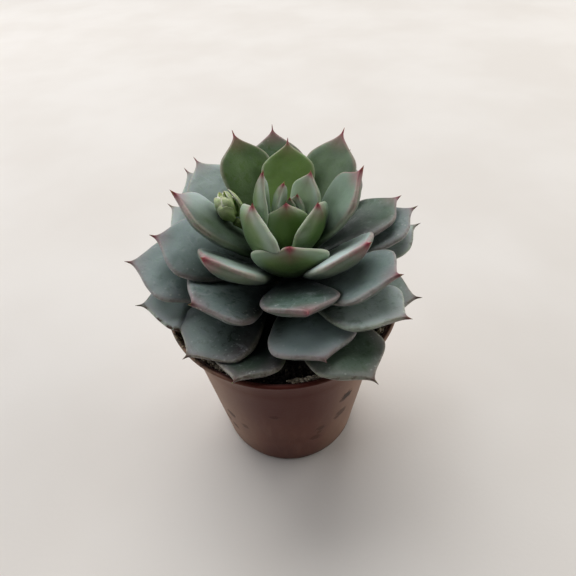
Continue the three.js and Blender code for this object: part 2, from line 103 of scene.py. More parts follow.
# What the leaves of a tier share: their material slot, the numbers named here, and any others.
TIER_COLUMNS = ("thick", "curl", "trough", "fresh", "bloom", "blush", "age", "wear", "crust", "deep")
TIERS = {
    "heart_leaf": ("inner_leaves", (2.4, 28, 0.2, 1.0, 0.45, 0.55, 0.0, 0.0, 0.0, 0.6),
                   {"shoulder": 2.2, "cusp": 1.9}),
    "inner_leaf": ("inner_leaves", (3.2, 26, 0.18, 0.9, 0.5, 0.5, 0.05, 0.05, 0.0, 0.62), {}),
    "middle_leaf": ("middle_leaves", (3.6, 10, 0.13, 0.6, 0.62, 0.7, 0.1, 0.1, 0.05, 0.78), {}),
    "broad_leaf": ("outer_leaves", (3.8, 6, 0.1, 0.28, 0.7, 0.5, 0.45, 0.4, 0.15, 0.8), {}),
    "outer_leaf": ("outer_leaves", (3.6, 0, 0.08, 0.14, 0.7, 0.22, 0.7, 0.5, 0.22, 0.8), {}),
    "lower_leaf": ("lower_leaves", (3.3, 0, 0.06, 0.12, 0.62, 0.1, 0.95, 0.55, 0.5, 0.8), {}),
}

# Every leaf, from the heart outwards: its turn about the axis and its rise from level, the height of its
# root, its length and width, and what it has that its tier doesn't.
LEAVES = {
    "heart_leaf": [
        (63, 87, 64.6, 10.5, 3.4, {"thick": 1.6, "curl": 20, "bloom": 0.9}),
        (41, 80.5, 64.4, 11.3, 5, {"thick": 1.6, "bloom": 0.9}),
        (158, 95, 63.6, 16.2, 6.5, {"thick": 2, "bloom": 0.7}),
        (275, 86.5, 62.4, 14.4, 9.2, {"thick": 2.6, "deep": 0.1, "bloom": 0.35}),
        (36, 72.5, 62.4, 18, 9.2, {"curl": 18}),
    ],
    "inner_leaf": [
        (180, 85, 60.8, 22, 8.2, {"thick": 2.6, "trough": 0.3, "shoulder": 2.4, "cusp": 2.2, "bloom": 0.7}),
        (323, 69, 61.4, 17.8, 13, {"roll": 4, "shoulder": 2.4, "cusp": 2.2, "deep": 1.05}),
        (223, 72, 60, 20, 15.6, {"curl": 44, "roll": -16, "shoulder": 2.4, "cusp": 2.2, "bloom": 1.0}),
        (85, 48.5, 60.2, 26, 12.3, {"curl": 12, "trough": 0.12, "bloom": 0.06, "fresh": 1.2}),
        (274.5, 58.5, 57.6, 18.5, 15.8,
         {"thick": 3.6, "curl": 20, "roll": -6, "shoulder": 3.4, "cusp": 2.4}),
    ],
    "middle_leaf": [
        (5, 57.5, 59.4, 26.5, 13, {"curl": 14, "trough": 0.16, "blush": 1.0, "bloom": 0.28}),
        (180, 46, 58.6, 29, 14,
         {"curl": 12, "roll": 8, "blush": 0.9, "bloom": 1.3, "deep": 1.08, "side": 0.22}),
        (323, 43, 56.8, 24.8, 17, {"thick": 3.8, "roll": -8, "blush": 0.9, "bloom": 0.95}),
        (221, 43, 56.2, 25, 15.5, {"thick": 3.8, "roll": 8, "blush": 0.95, "bloom": 0.5}),
        (116, 47, 57, 32.6, 13.2, {"curl": 4, "roll": 4, "fresh": 1.1, "bloom": 0.05, "blush": 0.7}),
        (53, 47.5, 56.2, 33.6, 13.4, {"curl": 6, "fresh": 1.0, "bloom": 0.18, "blush": 0.9}),
    ],
    "broad_leaf": [
        (279, 26, 56.6, 24, 15.8,
         {"blush": 0.55, "age": 0.6, "wear": 0.6, "bloom": 0.2, "fresh": 0.15, "deep": 0.95}),
        (180, 27.5, 55.2, 29.5, 17.5, {"curl": 2, "roll": -8, "side": 0.15, "bloom": 0.85}),
        (326, 29.5, 54, 28.5, 19.5, {"roll": -2}),
        (92.5, 42, 54.2, 36.2, 15.5,
         {"thick": 3.6, "fresh": 1.0, "bloom": 0.12, "blush": 0.8, "deep": 0.6}),
        (220, 25, 53.2, 24.6, 19.2, {"thick": 4, "age": 0.75, "wear": 0.8, "bloom": 0.8, "side": 0.2}),
        (25.5, 18, 56.6, 31.2, 15,
         {"thick": 3.5, "curl": 0, "roll": -12, "bloom": 0.16, "fresh": 0.55, "deep": 0.95}),
        (131, 32, 55, 35, 15.5, {"thick": 3.5, "curl": 2, "roll": -6, "bloom": 0.8, "skin": "middle_leaf"}),
        (56.5, 32.5, 52, 36.4, 15, {"thick": 3.5}),
    ],
    "outer_leaf": [
        (285, 16, 50.8, 26.5, 18.5, {"thick": 3.9, "age": 0.95, "curl": 4, "bloom": 1.05, "fresh": 0.4}),
        # Painted light: this leaf lies in shade and takes the middle tier's paler skin to look lit.
        (320, 16, 52.6, 30.3, 18,
         {"curl": -4, "roll": -8, "wear": 0.75, "bloom": 0.75, "skin": "middle_leaf"}),
        (183, 20, 51.8, 34, 19, {"curl": -2, "roll": -6}),
        (20, 19, 53.2, 34.2, 16, {"curl": -2, "roll": -8, "bloom": 0.55}),
        (133, 29, 52, 37, 15.5, {"curl": 2, "roll": -6, "bloom": 0.9, "skin": "middle_leaf"}),
        (73, 26.5, 50.6, 34, 15.5, {}),
        (108, 25.5, 50.4, 34, 15.5, {}),
        (145, 22.5, 50.2, 34.5, 15.5, {"bloom": 0.95, "skin": "middle_leaf"}),
        (91, 21, 49, 33, 14.5, {}),
    ],
    "lower_leaf": [
        (225.5, 6, 50.6, 27.4, 19.2,
         {"curl": -12, "trough": 0.1, "bloom": 0.95, "wear": 0.75, "crust": 0.4, "deep": 0.9, "side": 0.3}),
        (250, 14.5, 47.4, 27.6, 15.6, {"curl": 8, "roll": 4, "bloom": 0.06, "deep": 1.1, "wear": 0.35}),
        (299.5, 10.5, 48.6, 32, 17.5,
         {"curl": -10, "roll": -3, "bloom": 0.12, "fresh": 0.3, "wear": 0.35}),
        (340, 16, 48.6, 29.6, 17, {"fresh": 0.4}),
        (20, 13.5, 50.4, 35.2, 15.5,
         {"curl": -2, "roll": -6, "fresh": 0.8, "bloom": 0.9, "skin": "middle_leaf"}),
        (44, 15.5, 47.8, 32.5, 13.5, {}),
        (69, 16.5, 47.9, 31.5, 13.5, {}),
        (116, 16.5, 47.9, 31.5, 13.5, {}),
        (160, 16.5, 48.4, 31, 14, {"bloom": 0.9, "skin": "middle_leaf"}),
        # Painted light: this leaf lies in shade and takes the middle tier's paler skin to look lit.
        (194, 13, 49, 31.4, 17,
         {"roll": -3, "fresh": 0.5, "bloom": 1.1, "crust": 0.9, "deep": 0.6, "skin": "middle_leaf"}),
    ],
}

# The bud's scales stand on its line one above the other, each a little closer in and turned from the last.
BUD = {
    "foot": Vector((-9.45, 3.2, 70.25)), "top": Vector((-12.3, 6.4, 75.3)),
    "scales": 8, "first turn": 280, "turn": 137.5, "first step": -0.3, "step": 0.35,
    "first ring": 1.3, "ring": 0.09, "first seed": 50, "seed step": 3.3,
}
# What the bud's scales and its leaflet share with each other, and then their own numbers.
LEAFLET = {
    "rings": 26, "sides": 24, "root width": 1.2, "ripple": 0.5, "point length": 0.5, "point width": 0.25,
    "keel": 0,
}
SCALE = {
    **LEAFLET, "length": 4.5, "width": 3.1, "thick": 0.6, "curl": 44, "trough": 0.6, "rise": 90,
    "lean": -16, "widest at": 0.5, "shoulder": 2.2, "cusp": 0.62,
}
BRACT = {
    **LEAFLET, "length": 7, "width": 1.2, "thick": 0.5, "curl": 50, "trough": 0.3, "rise": 92, "lean": 0,
    "widest at": 0.68, "shoulder": 1.4, "cusp": 1, "turn": 0, "ring": 2.2, "step": -0.9, "seed": 80,
}
# The bud's core is a spiral of small scales. It swells and closes again from its foot to its top.
CORE = {
    "scales": 22, "radius": 0.48, "first step": 0.25, "reach": 0.7, "swell from": 0.18, "swell by": 0.72,
    "length": 2.1, "shorter by": 0.8, "width": 1.4, "narrower by": 0.6, "rise": 80, "less rise": 20,
    "seed step": 2.1,
}
CORE_SCALE = {**LEAFLET, "thick": 0.5, "curl": 50, "trough": 0.2, "lean": -26, "widest at": 0.5, "cusp": 1}
STALK = {
    "radius": 0.88, "knobs": 0.06, "knob turn": 3.1, "steps": 10, "sides": 24,
    "route": [Vector((0.3, 2, 60)), Vector((-3.4, 3.6, 63.6)), Vector((-6.6, 3.6, 67.2)),
              Vector((-9.3, 2.9, 69.85))],
}
FIBRE_INPUTS = {
    "Band": 0.6, "Strands": 170, "Longest": 0.08, "Thickness": 0.12, "Clumps": 4.0, "Crumb Size": 0.36,
}
FIBRE = {"below rim": 1.5, "off wall": 0.2, "first seed": 7, "seed step": 20}
# Each run of fibres: the angles where it starts and ends, how many crumbs it holds and how pale they are.
FIBRE_RUNS = {
    "root_fibre_front": (272, 295, 130, 1.2), "root_fibre_left": (216, 248, 240, 0.35),
    "root_fibre_right": (318, 344, 90, 0.2),
}

# How far apart pressed leaves and pressed scales end up, and how a dent spreads over its neighbours.
LEAF_GAP = 0.18
SCALE_GAP = 0.05
DENT = {"search": 0.2, "steps": 5, "softness": 0.92}


def outside_radius(height):
    taper = POT["foot"] + (POT["neck"] - POT["foot"]) * height / POT["neck height"]
    if height <= POT["neck height"]:
        return taper
    up = (height - POT["neck height"]) / (POT["height"] - POT["neck height"])
    return POT["neck"] + (POT["lip"] - POT["neck"]) * up ** POT["flare"]


def inside_radius(height):
    return outside_radius(height) - POT["wall"]


def on_circle(radius, degrees):
    """X and Y at this angle from +X."""
    angle = math.radians(degrees)
    return radius * math.cos(angle), radius * math.sin(angle)


# ------------------------------------------------------------
# Node trees written as arithmetic
# ------------------------------------------------------------


def operator(operation, swapped=False):
    """A method that adds this Math node; swapped puts the field last."""
    def method(field, other):
        return math_node(operation, other, field) if swapped else math_node(operation, field, other)
    return method


class Field:
    """One output of a node tree. Arithmetic on fields adds Math nodes to that tree."""

    def __init__(self, tree, socket):
        self.tree = tree
        self.socket = socket

    __add__ = __radd__ = operator("ADD")
    __mul__ = __rmul__ = operator("MULTIPLY")
    __sub__, __rsub__ = operator("SUBTRACT"), operator("SUBTRACT", swapped=True)
    __truediv__, __rtruediv__ = operator("DIVIDE"), operator("DIVIDE", swapped=True)
    __pow__ = operator("POWER")


def tree_of(values):
    return next(value.tree for value in values if isinstance(value, Field))


def plug(tree, socket, value):
    if isinstance(value, Field):
        tree.links.new(value.socket, socket)
    else:
        socket.default_value = value


def math_node(operation, *values, clamp=False):
    tree = tree_of(values)
    node = tree.nodes.new("ShaderNodeMath")
    node.operation = operation
    node.use_clamp = clamp
    for socket, value in zip(node.inputs, values):
        plug(tree, socket, value)
    return Field(tree, node.outputs[0])


sine, cosine, size_of = (partial(math_node, name) for name in ("SINE", "COSINE", "ABSOLUTE"))
larger, smaller = (partial(math_node, name) for name in ("MAXIMUM", "MINIMUM"))


def share(value):
    """The value held between 0 and 1."""
    return math_node("ADD", value, 0.0, clamp=True)


def fade(value, start, end, low=0.0, high=1.0):
    """Goes softly from low to high as value goes from start to end; start is less than end."""
    node = value.tree.nodes.new("ShaderNodeMapRange")
    node.interpolation_type = "SMOOTHSTEP"
    settings = {"Value": value, "From Min": start, "From Max": end, "To Min": low, "To Max": high}
    for name, number in settings.items():
        plug(value.tree, node.inputs[name], number)
    return Field(value.tree, node.outputs[0])


def fading(value, start, end, most=1.0):
    """Goes softly from most to 0 as value goes from start to end."""
    return fade(value, start, end, most, 0.0)


def vector(*values):
    tree = tree_of(values)
    node = tree.nodes.new("ShaderNodeCombineXYZ")
    for socket, value in zip(node.inputs, values):
        plug(tree, socket, value)
    return Field(tree, node.outputs[0])


def parts_of(field):
    node = field.tree.nodes.new("ShaderNodeSeparateXYZ")
    plug(field.tree, node.inputs[0], field)
    return [Field(field.tree, socket) for socket in node.outputs]


def vector_math(operation, a, b):
    node = a.tree.nodes.new("ShaderNodeVectorMath")
    node.operation = operation
    plug(a.tree, node.inputs[0], a)
    plug(a.tree, node.inputs["Scale" if operation == "SCALE" else 1], b)
    return Field(a.tree, node.outputs["Value" if operation == "DISTANCE" else "Vector"])


def noise(place, scale, detail=2.0, rough=0.5, distortion=0.0):
    node = place.tree.nodes.new("ShaderNodeTexNoise")
    plug(place.tree, node.inputs["Vector"], place)
    settings = {"Scale": scale, "Detail": detail, "Roughness": rough, "Distortion": distortion}
    for name, value in settings.items():
        node.inputs[name].default_value = value
    return Field(place.tree, node.outputs[0])


def cells(place, scale):
    node = place.tree.nodes.new("ShaderNodeTexVoronoi")
    plug(place.tree, node.inputs["Vector"], place)
    node.inputs["Scale"].default_value = scale
    return Field(place.tree, node.outputs["Distance"])


# ------------------------------------------------------------
# Finishes
# ------------------------------------------------------------


def colour(text):
    """A hex colour as the linear red, green, blue and alpha that sockets take."""
    channels = [int(text[i:i + 2], 16) / 255 for i in (1, 3, 5)]
    return (*(c / 12.92 if c <= 0.04045 else ((c + 0.055) / 1.055) ** 2.4 for c in channels), 1.0)


def mixed(first, second, amount):
    """The first colour where amount is 0, the second where it is 1. Each is a field or a hex colour."""
    tree = amount.tree
    node = tree.nodes.new("ShaderNodeMix")
    node.data_type = "RGBA"
    plug(tree, node.inputs[0], amount)
    for socket, tint in zip(node.inputs[6:8], (first, second)):
        plug(tree, socket, colour(tint) if isinstance(tint, str) else tint)
    return Field(tree, node.outputs[2])


class Finish:
    """A procedural material: its tree, its shader and the places that its patterns read."""

    def __init__(self, name):
        self.material = bpy.data.materials.new(name)
        self.material.use_nodes = True
        self.tree = self.material.node_tree
        self.shader = self.tree.nodes["Principled BSDF"]
        coordinates = self.tree.nodes.new("ShaderNodeTexCoord")
        self.place = vector_math("SCALE", Field(self.tree, coordinates.outputs["Object"]), 1 / MM)

    def attribute(self, name):
        node = self.tree.nodes.new("ShaderNodeAttribute")
        node.attribute_name = name
        return Field(self.tree, node.outputs["Fac"])

    def set(self, **values):
        for name, value in values.items():
            plug(self.tree, self.shader.inputs[name.replace("_", " ")], value)

    def relief(self, height, depth):
        """Bump of the given depth in millimetres."""
        node = self.tree.nodes.new("ShaderNodeBump")
        node.inputs["Strength"].default_value = 1.0
        node.inputs["Distance"].default_value = depth * MM
        plug(self.tree, node.inputs["Height"], height)
        plug(self.tree, self.shader.inputs["Normal"], Field(self.tree, node.outputs[0]))


# Tints that the wax, the margins and the points of all leaves share.
POWDER, FLECK = "#bcc4c6", "#e6e8e2"
MAUVE, PINK, KEEL_PINK, HALO = "#8e7d84", "#a5606c", "#9a5f62", "#b06a76"
CRIMSON, OLD_POINT, DRY_MARGIN = "#a3324a", "#4f342c", "#4f382a"


def leaf_skin(name, shoulder, grey, green, deep, bloom_tint, under_tint, margin_tint):
    """Waxy leaf skin. The leaf's own attributes say where a spot is on it and how the leaf looks; shoulder
    says how strong its painted pale rim light is.
    """
    finish = Finish(name)
    place = finish.place
    # rim is the way to the margin and tip the way to the point, in millimetres on a leaf of middling size.
    along, across, rim, tip, upper = map(finish.attribute, ("along", "across", "rim", "tip", "upper"))
    fresh, bloom, blush, age = map(finish.attribute, ("fresh", "bloom", "blush", "age"))
    wear, crust, deep_to, side = map(finish.attribute, ("wear", "crust", "deep", "side"))
    middle, reach = size_of(across), along - across * side

    cloud = noise(place, 0.14, 4.0, 0.6)
    patch = noise(place, 0.55, 5.0, 0.65, 0.4)
    fine = noise(place, 2.6, 3.0, 0.6)

    # Tissue: grey-green when old, bright green when young, deeper in soft clouds, and with painted shade of
    # deeper green along the fold of the lower side and towards the root.
    under = fading(upper, -0.35, 0.1)
    tissue = mixed(grey, green, share(fresh + (cloud - 0.5) * 0.4))
    tissue = mixed(tissue, under_tint, under * 0.75)
    # Painted shade: darker green towards the root, further on one side, and along the fold of the lower side.
    painted_root_shade = fading(reach + (cloud - 0.5) * 0.3, deep_to - 0.5, deep_to, 0.95)
    painted_fold_shade = under * fading(middle, 0.05, 0.6, 0.7) * share(deep_to * 1.6)
    tissue = mixed(tissue, deep, share(painted_root_shade + fade(cloud, 0.45, 0.75, 0.0, 0.3) + painted_fold_shade))

    # Bloom: a pale wax haze, thin at the root where the painted root shade lies, rubbed off in patches and
    # left as powder in others.
    rubbed = fade(patch, 0.5, 0.66) * wear
    cover = 0.45 + cloud * 0.6 + patch * 0.5
    from_root = fade(reach, deep_to - 0.5, deep_to, 0.06, 1.0)
    haze = share(bloom * cover * from_root * (1.1 - under * 0.98) - rubbed * 0.6)
    # Painted rim light: a pale band near the margins, partly wax haze and partly painted light.
    wax_and_painted_rim_light = fading(rim, 0.4, 3.6, shoulder) * fade(along, 0.3, 0.6) * fade(cloud, 0.3, 0.6, 0.35, 1.0)
    skin = mixed(tissue, bloom_tint, share(haze * 0.8 + wax_and_painted_rim_light * share(bloom * 1.6)))
    powder = fade(noise(place, 0.32, 5.0, 0.75, 0.9), 0.54, 0.7) * wear * fade(along, 0.35, 0.75)
    skin = mixed(skin, POWDER, powder * 0.5)

    # Margins: a faint mauve wash, then a rounded, pale edge, with pink that gathers towards the point.
    wash = fading(rim, 0.3, 4.2) * fade(along, 0.35, 0.7) * share(age * (cloud * 1.8 - 0.35))
    skin = mixed(skin, MAUVE, wash * 0.55)
    thin_rim = rim * (1.0 + under * 1.6)
    edge = fading(thin_rim, 0.0, 0.95) * fade(along, 0.22, 0.5)
    skin = mixed(skin, margin_tint, share(edge * (cloud * 1.1 + fine * 0.5 - 0.3)))
    flush = fading(thin_rim, 0.05, 1.1) * fade(along, 0.45, 0.98) * blush ** 2.0
    skin = mixed(skin, PINK, share(flush * (patch * 2.0 - 0.5)))
    keel = fading(middle, 0.0, 0.14) * fading(upper, -0.9, -0.6)
    skin = mixed(skin, KEEL_PINK, keel * fade(along, 0.78, 1.0) * blush * 0.5)

    # Points: crimson, brown on old leaves, with a pinker halo.
    skin = mixed(skin, HALO, fading(tip, 1.2, 6.4) * blush * 0.6)
    point_tint = mixed(CRIMSON, OLD_POINT, age)
    skin = mixed(skin, point_tint, fading(tip, 0.8, 2.6, 0.92))

    # Old leaves: dry, brown margins with a ragged inner line, and white flecks of wax beside them.
    broken = fade(patch, 0.44, 0.58)
    dry = fading(rim + (fine - 0.5) * 0.8, 0.05, 0.9) * broken * crust * fade(along, 0.4, 0.6)
    skin = mixed(skin, DRY_MARGIN, share(dry * 1.2))
    near_margin = fade(rim, 0.5, 4.5, 1.0, 0.2)
    fleck = fading(cells(place, 0.95), 0.12, 0.3) * fade(noise(place, 0.4, 1.0), 0.47, 0.6) * near_margin
    skin = mixed(skin, FLECK, fleck * wear * 0.5)

    finish.set(
        Base_Color=skin,
        Roughness=share(0.38 + haze * 0.22 + (fine - 0.5) * 0.16 - rubbed * 0.08),
        Subsurface_Weight=0.16,
        Subsurface_Radius=(0.55, 1.0, 0.32),
        Subsurface_Scale=0.0018,
        Specular_IOR_Level=0.42,
        Sheen_Weight=0.14,
        Sheen_Roughness=0.45,
        Sheen_Tint=(0.82, 0.9, 1.0, 1.0),
    )
    grain = noise(place, 5.5, 2.0, 0.5)
    finish.relief(grain * 0.35 + patch * 0.9 + fleck * wear * 0.7 + dry * 1.2 + powder * 0.5, 0.08)
    return finish.material


def pot_plastic():
    """Matt, dusty, reddish-brown plastic with specks of soil dried onto the wall, painted paler on its sides
    as a painted reflection and darker on its upper front as painted shade.
    """
    finish = Finish("dusty pot plastic")
    place = finish.place
    x, y, height = parts_of(place)
    cloud = noise(place, 0.07, 4.0, 0.55)
    fine = noise(place, 1.6, 4.0, 0.65)
    streak = noise(vector_math("MULTIPLY", place, (0.5, 0.5, 0.06)), 1.0, 3.0, 0.6)
    brown = mixed("#562418", "#633122", fade(cloud, 0.35, 0.65))

    # Dust in streaks. The sides are paler, partly dust and partly a painted reflection of the bright room,
    # and the upper front is darker and redder as painted shade under the leaves.
    front = fading(size_of(x), 4.0, 19.0) * fading(y, -12.0, 0.0)
    dust = fade(streak, 0.45, 0.8, 0.0, 0.12) + fade(fine, 0.5, 0.8, 0.0, 0.1)
    base = mixed(brown, "#a37f63", share(dust + (1.0 - front) * (0.3 + cloud * 0.5)))
    # Painted shade: the upper front of the wall turned a deep red.
    painted_front_shade = front * fade(height, 16.0, 38.0) * fade(cloud, 0.3, 0.6, 0.6, 1.0)
    base = mixed(base, "#4d150d", painted_front_shade * 0.9)

    # The inside of the flare is darker and redder.
    up = share((height - POT["neck height"]) / (POT["height"] - POT["neck height"]))
    wall = POT["neck"] + (POT["lip"] - POT["neck"]) * up ** POT["flare"]
    inwards = wall - (x * x + y * y) ** 0.5
    inside = fade(inwards, 0.4, 0.7) * fade(height, 42.0, 45.0)
    base = mixed(base, "#4d201b", inside * 0.85)

    # Dried soil along the left of the rim, in specks on the wall and round the foot.
    crumbly = fade(noise(place, 0.75, 5.0, 0.7), 0.46, 0.56) * fade(height, 46.5, 50.5)
    crumbly = crumbly * fading(x, -22.0, -12.0)
    crumb_tint = mixed("#3b2a20", "#a8916f", fade(fine, 0.42, 0.6))
    base = mixed(base, crumb_tint, crumbly * fading(y, -4.0, 4.0))
    ragged = (noise(place, 0.9, 4.0, 0.7) - 0.5) * 2.6
    soiled = None
    for angle, level, size, strength in POT_SPECKS:
        gap = vector_math("DISTANCE", place, (*on_circle(outside_radius(level), angle), level))
        speck = fading(gap + ragged * size, size * 0.8, size * 1.7, strength)
        soiled = speck if soiled is None else larger(soiled, speck)
    foot_dirt = fading(height, 0.0, 4.0, 0.5) * fade(cloud, 0.4, 0.6)
    base = mixed(base, "#2f1d18", larger(soiled, foot_dirt))

    finish.set(
        Base_Color=base,
        Roughness=share(0.44 + fine * 0.2 + soiled * 0.3),
        Specular_IOR_Level=0.5 - front * 0.3,
        Sheen_Weight=0.07,
        Sheen_Tint=(1.0, 0.86, 0.74, 1.0),
    )
    finish.relief(fine * 0.4 + cloud * 1.2 + soiled * 1.5 + crumbly * 3.0, 0.08)
    return finish.material


def peat():
    """Near-black peat, with a paler crumb here and there."""
    finish = Finish("peat soil")
    grit = noise(finish.place, 1.1, 6.0, 0.75)
    chance = finish.attribute("chance")
    paler = share(fade(grit, 0.35, 0.75) * 0.5 + chance * 0.6)
    base = mixed("#403e3c", "#6d645b", paler)
    base = mixed(base, "#b3a690", fade(chance, 0.95, 0.98) * 0.7)
    finish.set(Base_Color=base, Roughness=0.93, Specular_IOR_Level=0.2)
    finish.relief(grit + cells(finish.place, 2.2) * 0.8, 0.35)
    return finish.material


def dry_fibre():
    """Dead root fibre, from brown to cream."""
    finish = Finish("dry root fibre")
    streak = noise(finish.place, 1.7, 4.0, 0.7)
    pale = share(finish.attribute("chance") * 0.8 + streak * 0.7)
    base = mixed("#5e432f", "#fff3dc", pale)
    finish.set(Base_Color=base, Roughness=0.82, Specular_IOR_Level=0.25)
    finish.relief(streak, 0.05)
    return finish.material


def stem_bark(name, bark, green):
    """A plant's stem, partly barked and partly green, with faint rings."""
    finish = Finish(name)
    rough = noise(finish.place, 0.9, 5.0, 0.65)
    rings = noise(vector_math("MULTIPLY", finish.place, (0.2, 0.2, 2.2)), 1.0, 3.0, 0.6)
    base = mixed(bark, green, share(fade(rough, 0.35, 0.7) * 0.7 + rings * 0.2))
    finish.set(Base_Color=base, Roughness=0.72, Subsurface_Weight=0.05, Subsurface_Scale=0.001)
    finish.relief(rough + rings, 0.18)
    return finish.material


def bud_skin(name, body, shade, edge):
    """Skin of a bud scale: painted shade towards the root, with a pale edge and a dull pink tip."""
    finish = Finish(name)
    mottle = noise(finish.place, 0.8, 4.0, 0.6)
    rim, along = finish.attribute("rim"), finish.attribute("along")
    base = mixed(body, shade, fade(mottle, 0.4, 0.7, 0.0, 0.5))
    # Painted shade towards the root, where the outer scales cover it.
    base = mixed(base, shade, fading(along, 0.2, 0.75, 0.7))
    base = mixed(base, edge, fading(rim, 0.05, 0.8, 0.9) * fade(along, 0.3, 0.65))
    base = mixed(base, "#c79a88", fade(along, 0.88, 1.0) * 0.3)
    finish.set(
        Base_Color=base, Roughness=0.5, Subsurface_Weight=0.18, Subsurface_Radius=(0.7, 1.0, 0.3),
        Subsurface_Scale=0.0012,
    )
    finish.relief(noise(finish.place, 3.2, 3.0) + mottle, 0.06)
    return finish.material


def pale_floor():
    finish = Finish("pale floor")
    soft = noise(finish.place, 0.012, 3.0, 0.5)
    grain = noise(finish.place, 0.9, 3.0, 0.6)
    base = mixed("#e9e3dc", "#efeae4", fade(soft, 0.3, 0.7))
    finish.set(Base_Color=base, Roughness=share(0.7 + grain * 0.15), Specular_IOR_Level=0.25)
    finish.relief(grain, 0.03)
    return finish.material


# Each skin: how strong its painted pale rim light is, then its grey, its green, its deeper green for clouds
# and for painted shade, its bloom, its lower side and its margin.
YOUNG_SKIN = leaf_skin(
    "young leaf skin", 0.52, "#7b957c", "#739245", "#4b6c20", "#c3d3c8", "#768f4c", "#c9d6b8")
MIDDLE_SKIN = leaf_skin(
    "middle leaf skin", 0.14, "#64806f", "#587538", "#2c4319", "#c8d8d6", "#4b562f", "#bcc3ab")
GREY_SKIN = leaf_skin(
    "grey leaf skin", 0.1, "#466157", "#58754a", "#17261b", "#9fb1b1", "#4f5b46", "#b3a9a6")
OLD_SKIN = leaf_skin(
    "old leaf skin", 0.05, "#43564a", "#567044", "#151f16", "#8f9f9c", "#464f3a", "#aeab9b")
SKINS = {
    "heart_leaf": YOUNG_SKIN, "inner_leaf": YOUNG_SKIN, "middle_leaf": MIDDLE_SKIN,
    "broad_leaf": GREY_SKIN, "outer_leaf": GREY_SKIN, "lower_leaf": OLD_SKIN,
}
STEM_SKIN = stem_bark("leafy stem", "#6d5a43", "#7f8b5c")
STALK_SKIN = stem_bark("bud stalk", "#7f8b56", "#8aa062")
BUD_SKIN = bud_skin("bud skin", "#c9d790", "#94ad58", "#ebeed2")
SCALE_SKIN = bud_skin("bud scale skin", "#c6d2a2", "#93a961", "#f3f2e2")

# ------------------------------------------------------------
# Shape trees
# ------------------------------------------------------------


class Shape:
    """A geometry tree with named inputs, given as name: value. Whole numbers make Integer inputs."""

    def __init__(self, name, inputs):
        self.tree = bpy.data.node_groups.new(name, "GeometryNodeTree")
        self.tree.interface.new_socket(name="Geometry", in_out="OUTPUT", socket_type="NodeSocketGeometry")
        kinds = {int: "NodeSocketInt", float: "NodeSocketFloat", type(None): "NodeSocketMaterial"}
        for label, value in inputs.items():
            kind = "NodeSocketGeometry" if value == "geometry" else kinds[type(value)]
            socket = self.tree.interface.new_socket(name=label, in_out="INPUT", socket_type=kind)
            if isinstance(value, (int, float)):
                socket.default_value = value
        self.entry = self.tree.nodes.new("NodeGroupInput")
        self.exit = self.tree.nodes.new("NodeGroupOutput")

    def input(self, label):
        return Field(self.tree, self.entry.outputs[label])

    def node(self, kind, settings=(), **values):
        """Adds a geometry node, sets its own settings, and plugs values into its inputs by name."""
        node = self.tree.nodes.new(f"GeometryNode{kind}")
        for name, setting in dict(settings).items():
            setattr(node, name, setting)
        for name, value in values.items():
            plug(self.tree, node.inputs[name.replace("_", " ")], value)
        return node

    def geometry(self, kind, settings=(), **values):
        """Adds a geometry node and gives its first output."""
        return Field(self.tree, self.node(kind, settings, **values).outputs[0])

    def keep(self, geometry, name, value):
        """Keeps a value at each point under this name, for materials to read."""
        node = self.node("StoreNamedAttribute", {"data_type": "FLOAT", "domain": "POINT"},
                         Geometry=geometry, Name=name)
        plug(self.tree, node.inputs["Value"], value)
        return Field(self.tree, node.outputs[0])

    def kept(self, name):
        node = self.node("InputNamedAttribute", {"data_type": "FLOAT"}, Name=name)
        return Field(self.tree, node.outputs[0])

    def random(self, low, high, seed, index=None):
        node = self.tree.nodes.new("FunctionNodeRandomValue")
        node.data_type = "FLOAT"
        sockets = {socket.identifier: socket for socket in node.inputs}
        plug(self.tree, sockets["Min_001"], low)
        plug(self.tree, sockets["Max_001"], high)
        plug(self.tree, sockets["Seed"], seed)
        if index is not None:
            plug(self.tree, sockets["ID"], index)
        return Field(self.tree, next(s for s in node.outputs if s.identifier == "Value_001"))

    def close(self, *geometries):
        """Ends the tree: geometry joined, instances made real, and the material set."""
        join = self.node("JoinGeometry")
        for geometry in geometries:
            self.tree.links.new(geometry.socket, join.inputs[0])
        real = self.geometry("RealizeInstances", Geometry=Field(self.tree, join.outputs[0]))
        smooth = self.geometry("SetShadeSmooth", Geometry=real)
        done = self.geometry("SetMaterial", Geometry=smooth, Material=self.input("Material"))
        plug(self.tree, self.exit.inputs["Geometry"], done)
        return self.tree


def grown(tree, values, base=None):
    """Runs a shape tree with these inputs and returns the result as a plain mesh."""
    holder = bpy.data.objects.new(tree.name, base or bpy.data.meshes.new(tree.name))
    scene.collection.objects.link(holder)
    modifier = holder.modifiers.new(tree.name, "NODES")
    modifier.node_group = tree
    for socket in tree.interface.items_tree:
        if socket.in_out == "INPUT" and socket.name in values:
            modifier[socket.identifier] = values[socket.name]
    graph = bpy.context.evaluated_depsgraph_get()
    graph.update()
    mesh = bpy.data.meshes.new_from_object(
        holder.evaluated_get(graph), preserve_all_data_layers=True, depsgraph=graph)
    holder.modifiers.remove(modifier)
    bpy.data.objects.remove(holder)
    return mesh


# The leaf's form beyond its inputs: exponents of its curves, and sizes in millimetres.
FORM = {
    "swell": 2.0, "point taper": 0.55, "least half width": 0.03, "thickening": 1.2, "thin late": 2.8,
    "thin to": 1.05, "point depth": 1.7, "least depth": 0.06, "hollow": 1.2, "upper round": 0.5,
    "lower round": 0.52, "keel from": 0.4, "keel to": 0.85, "keel narrow": 3.0,
}
# Waves of the margins, the leaf's lopsidedness, and the soft dents of its skin.
WAVES = {"along": 2.6, "across": 0.5, "of width": 0.1}
LOPSIDED = {"spot": (3.3, 7.7), "of width": 0.12}
DENTS = {"scale": 0.13, "depth": 0.9, "from root": 0.3, "from tip": 7.0, "shift": (13.0, 7.0)}
# Margins and points are marked in millimetres, as on a leaf of this width and length.
USUAL_WIDTH, USUAL_LENGTH = 15.0, 30.0


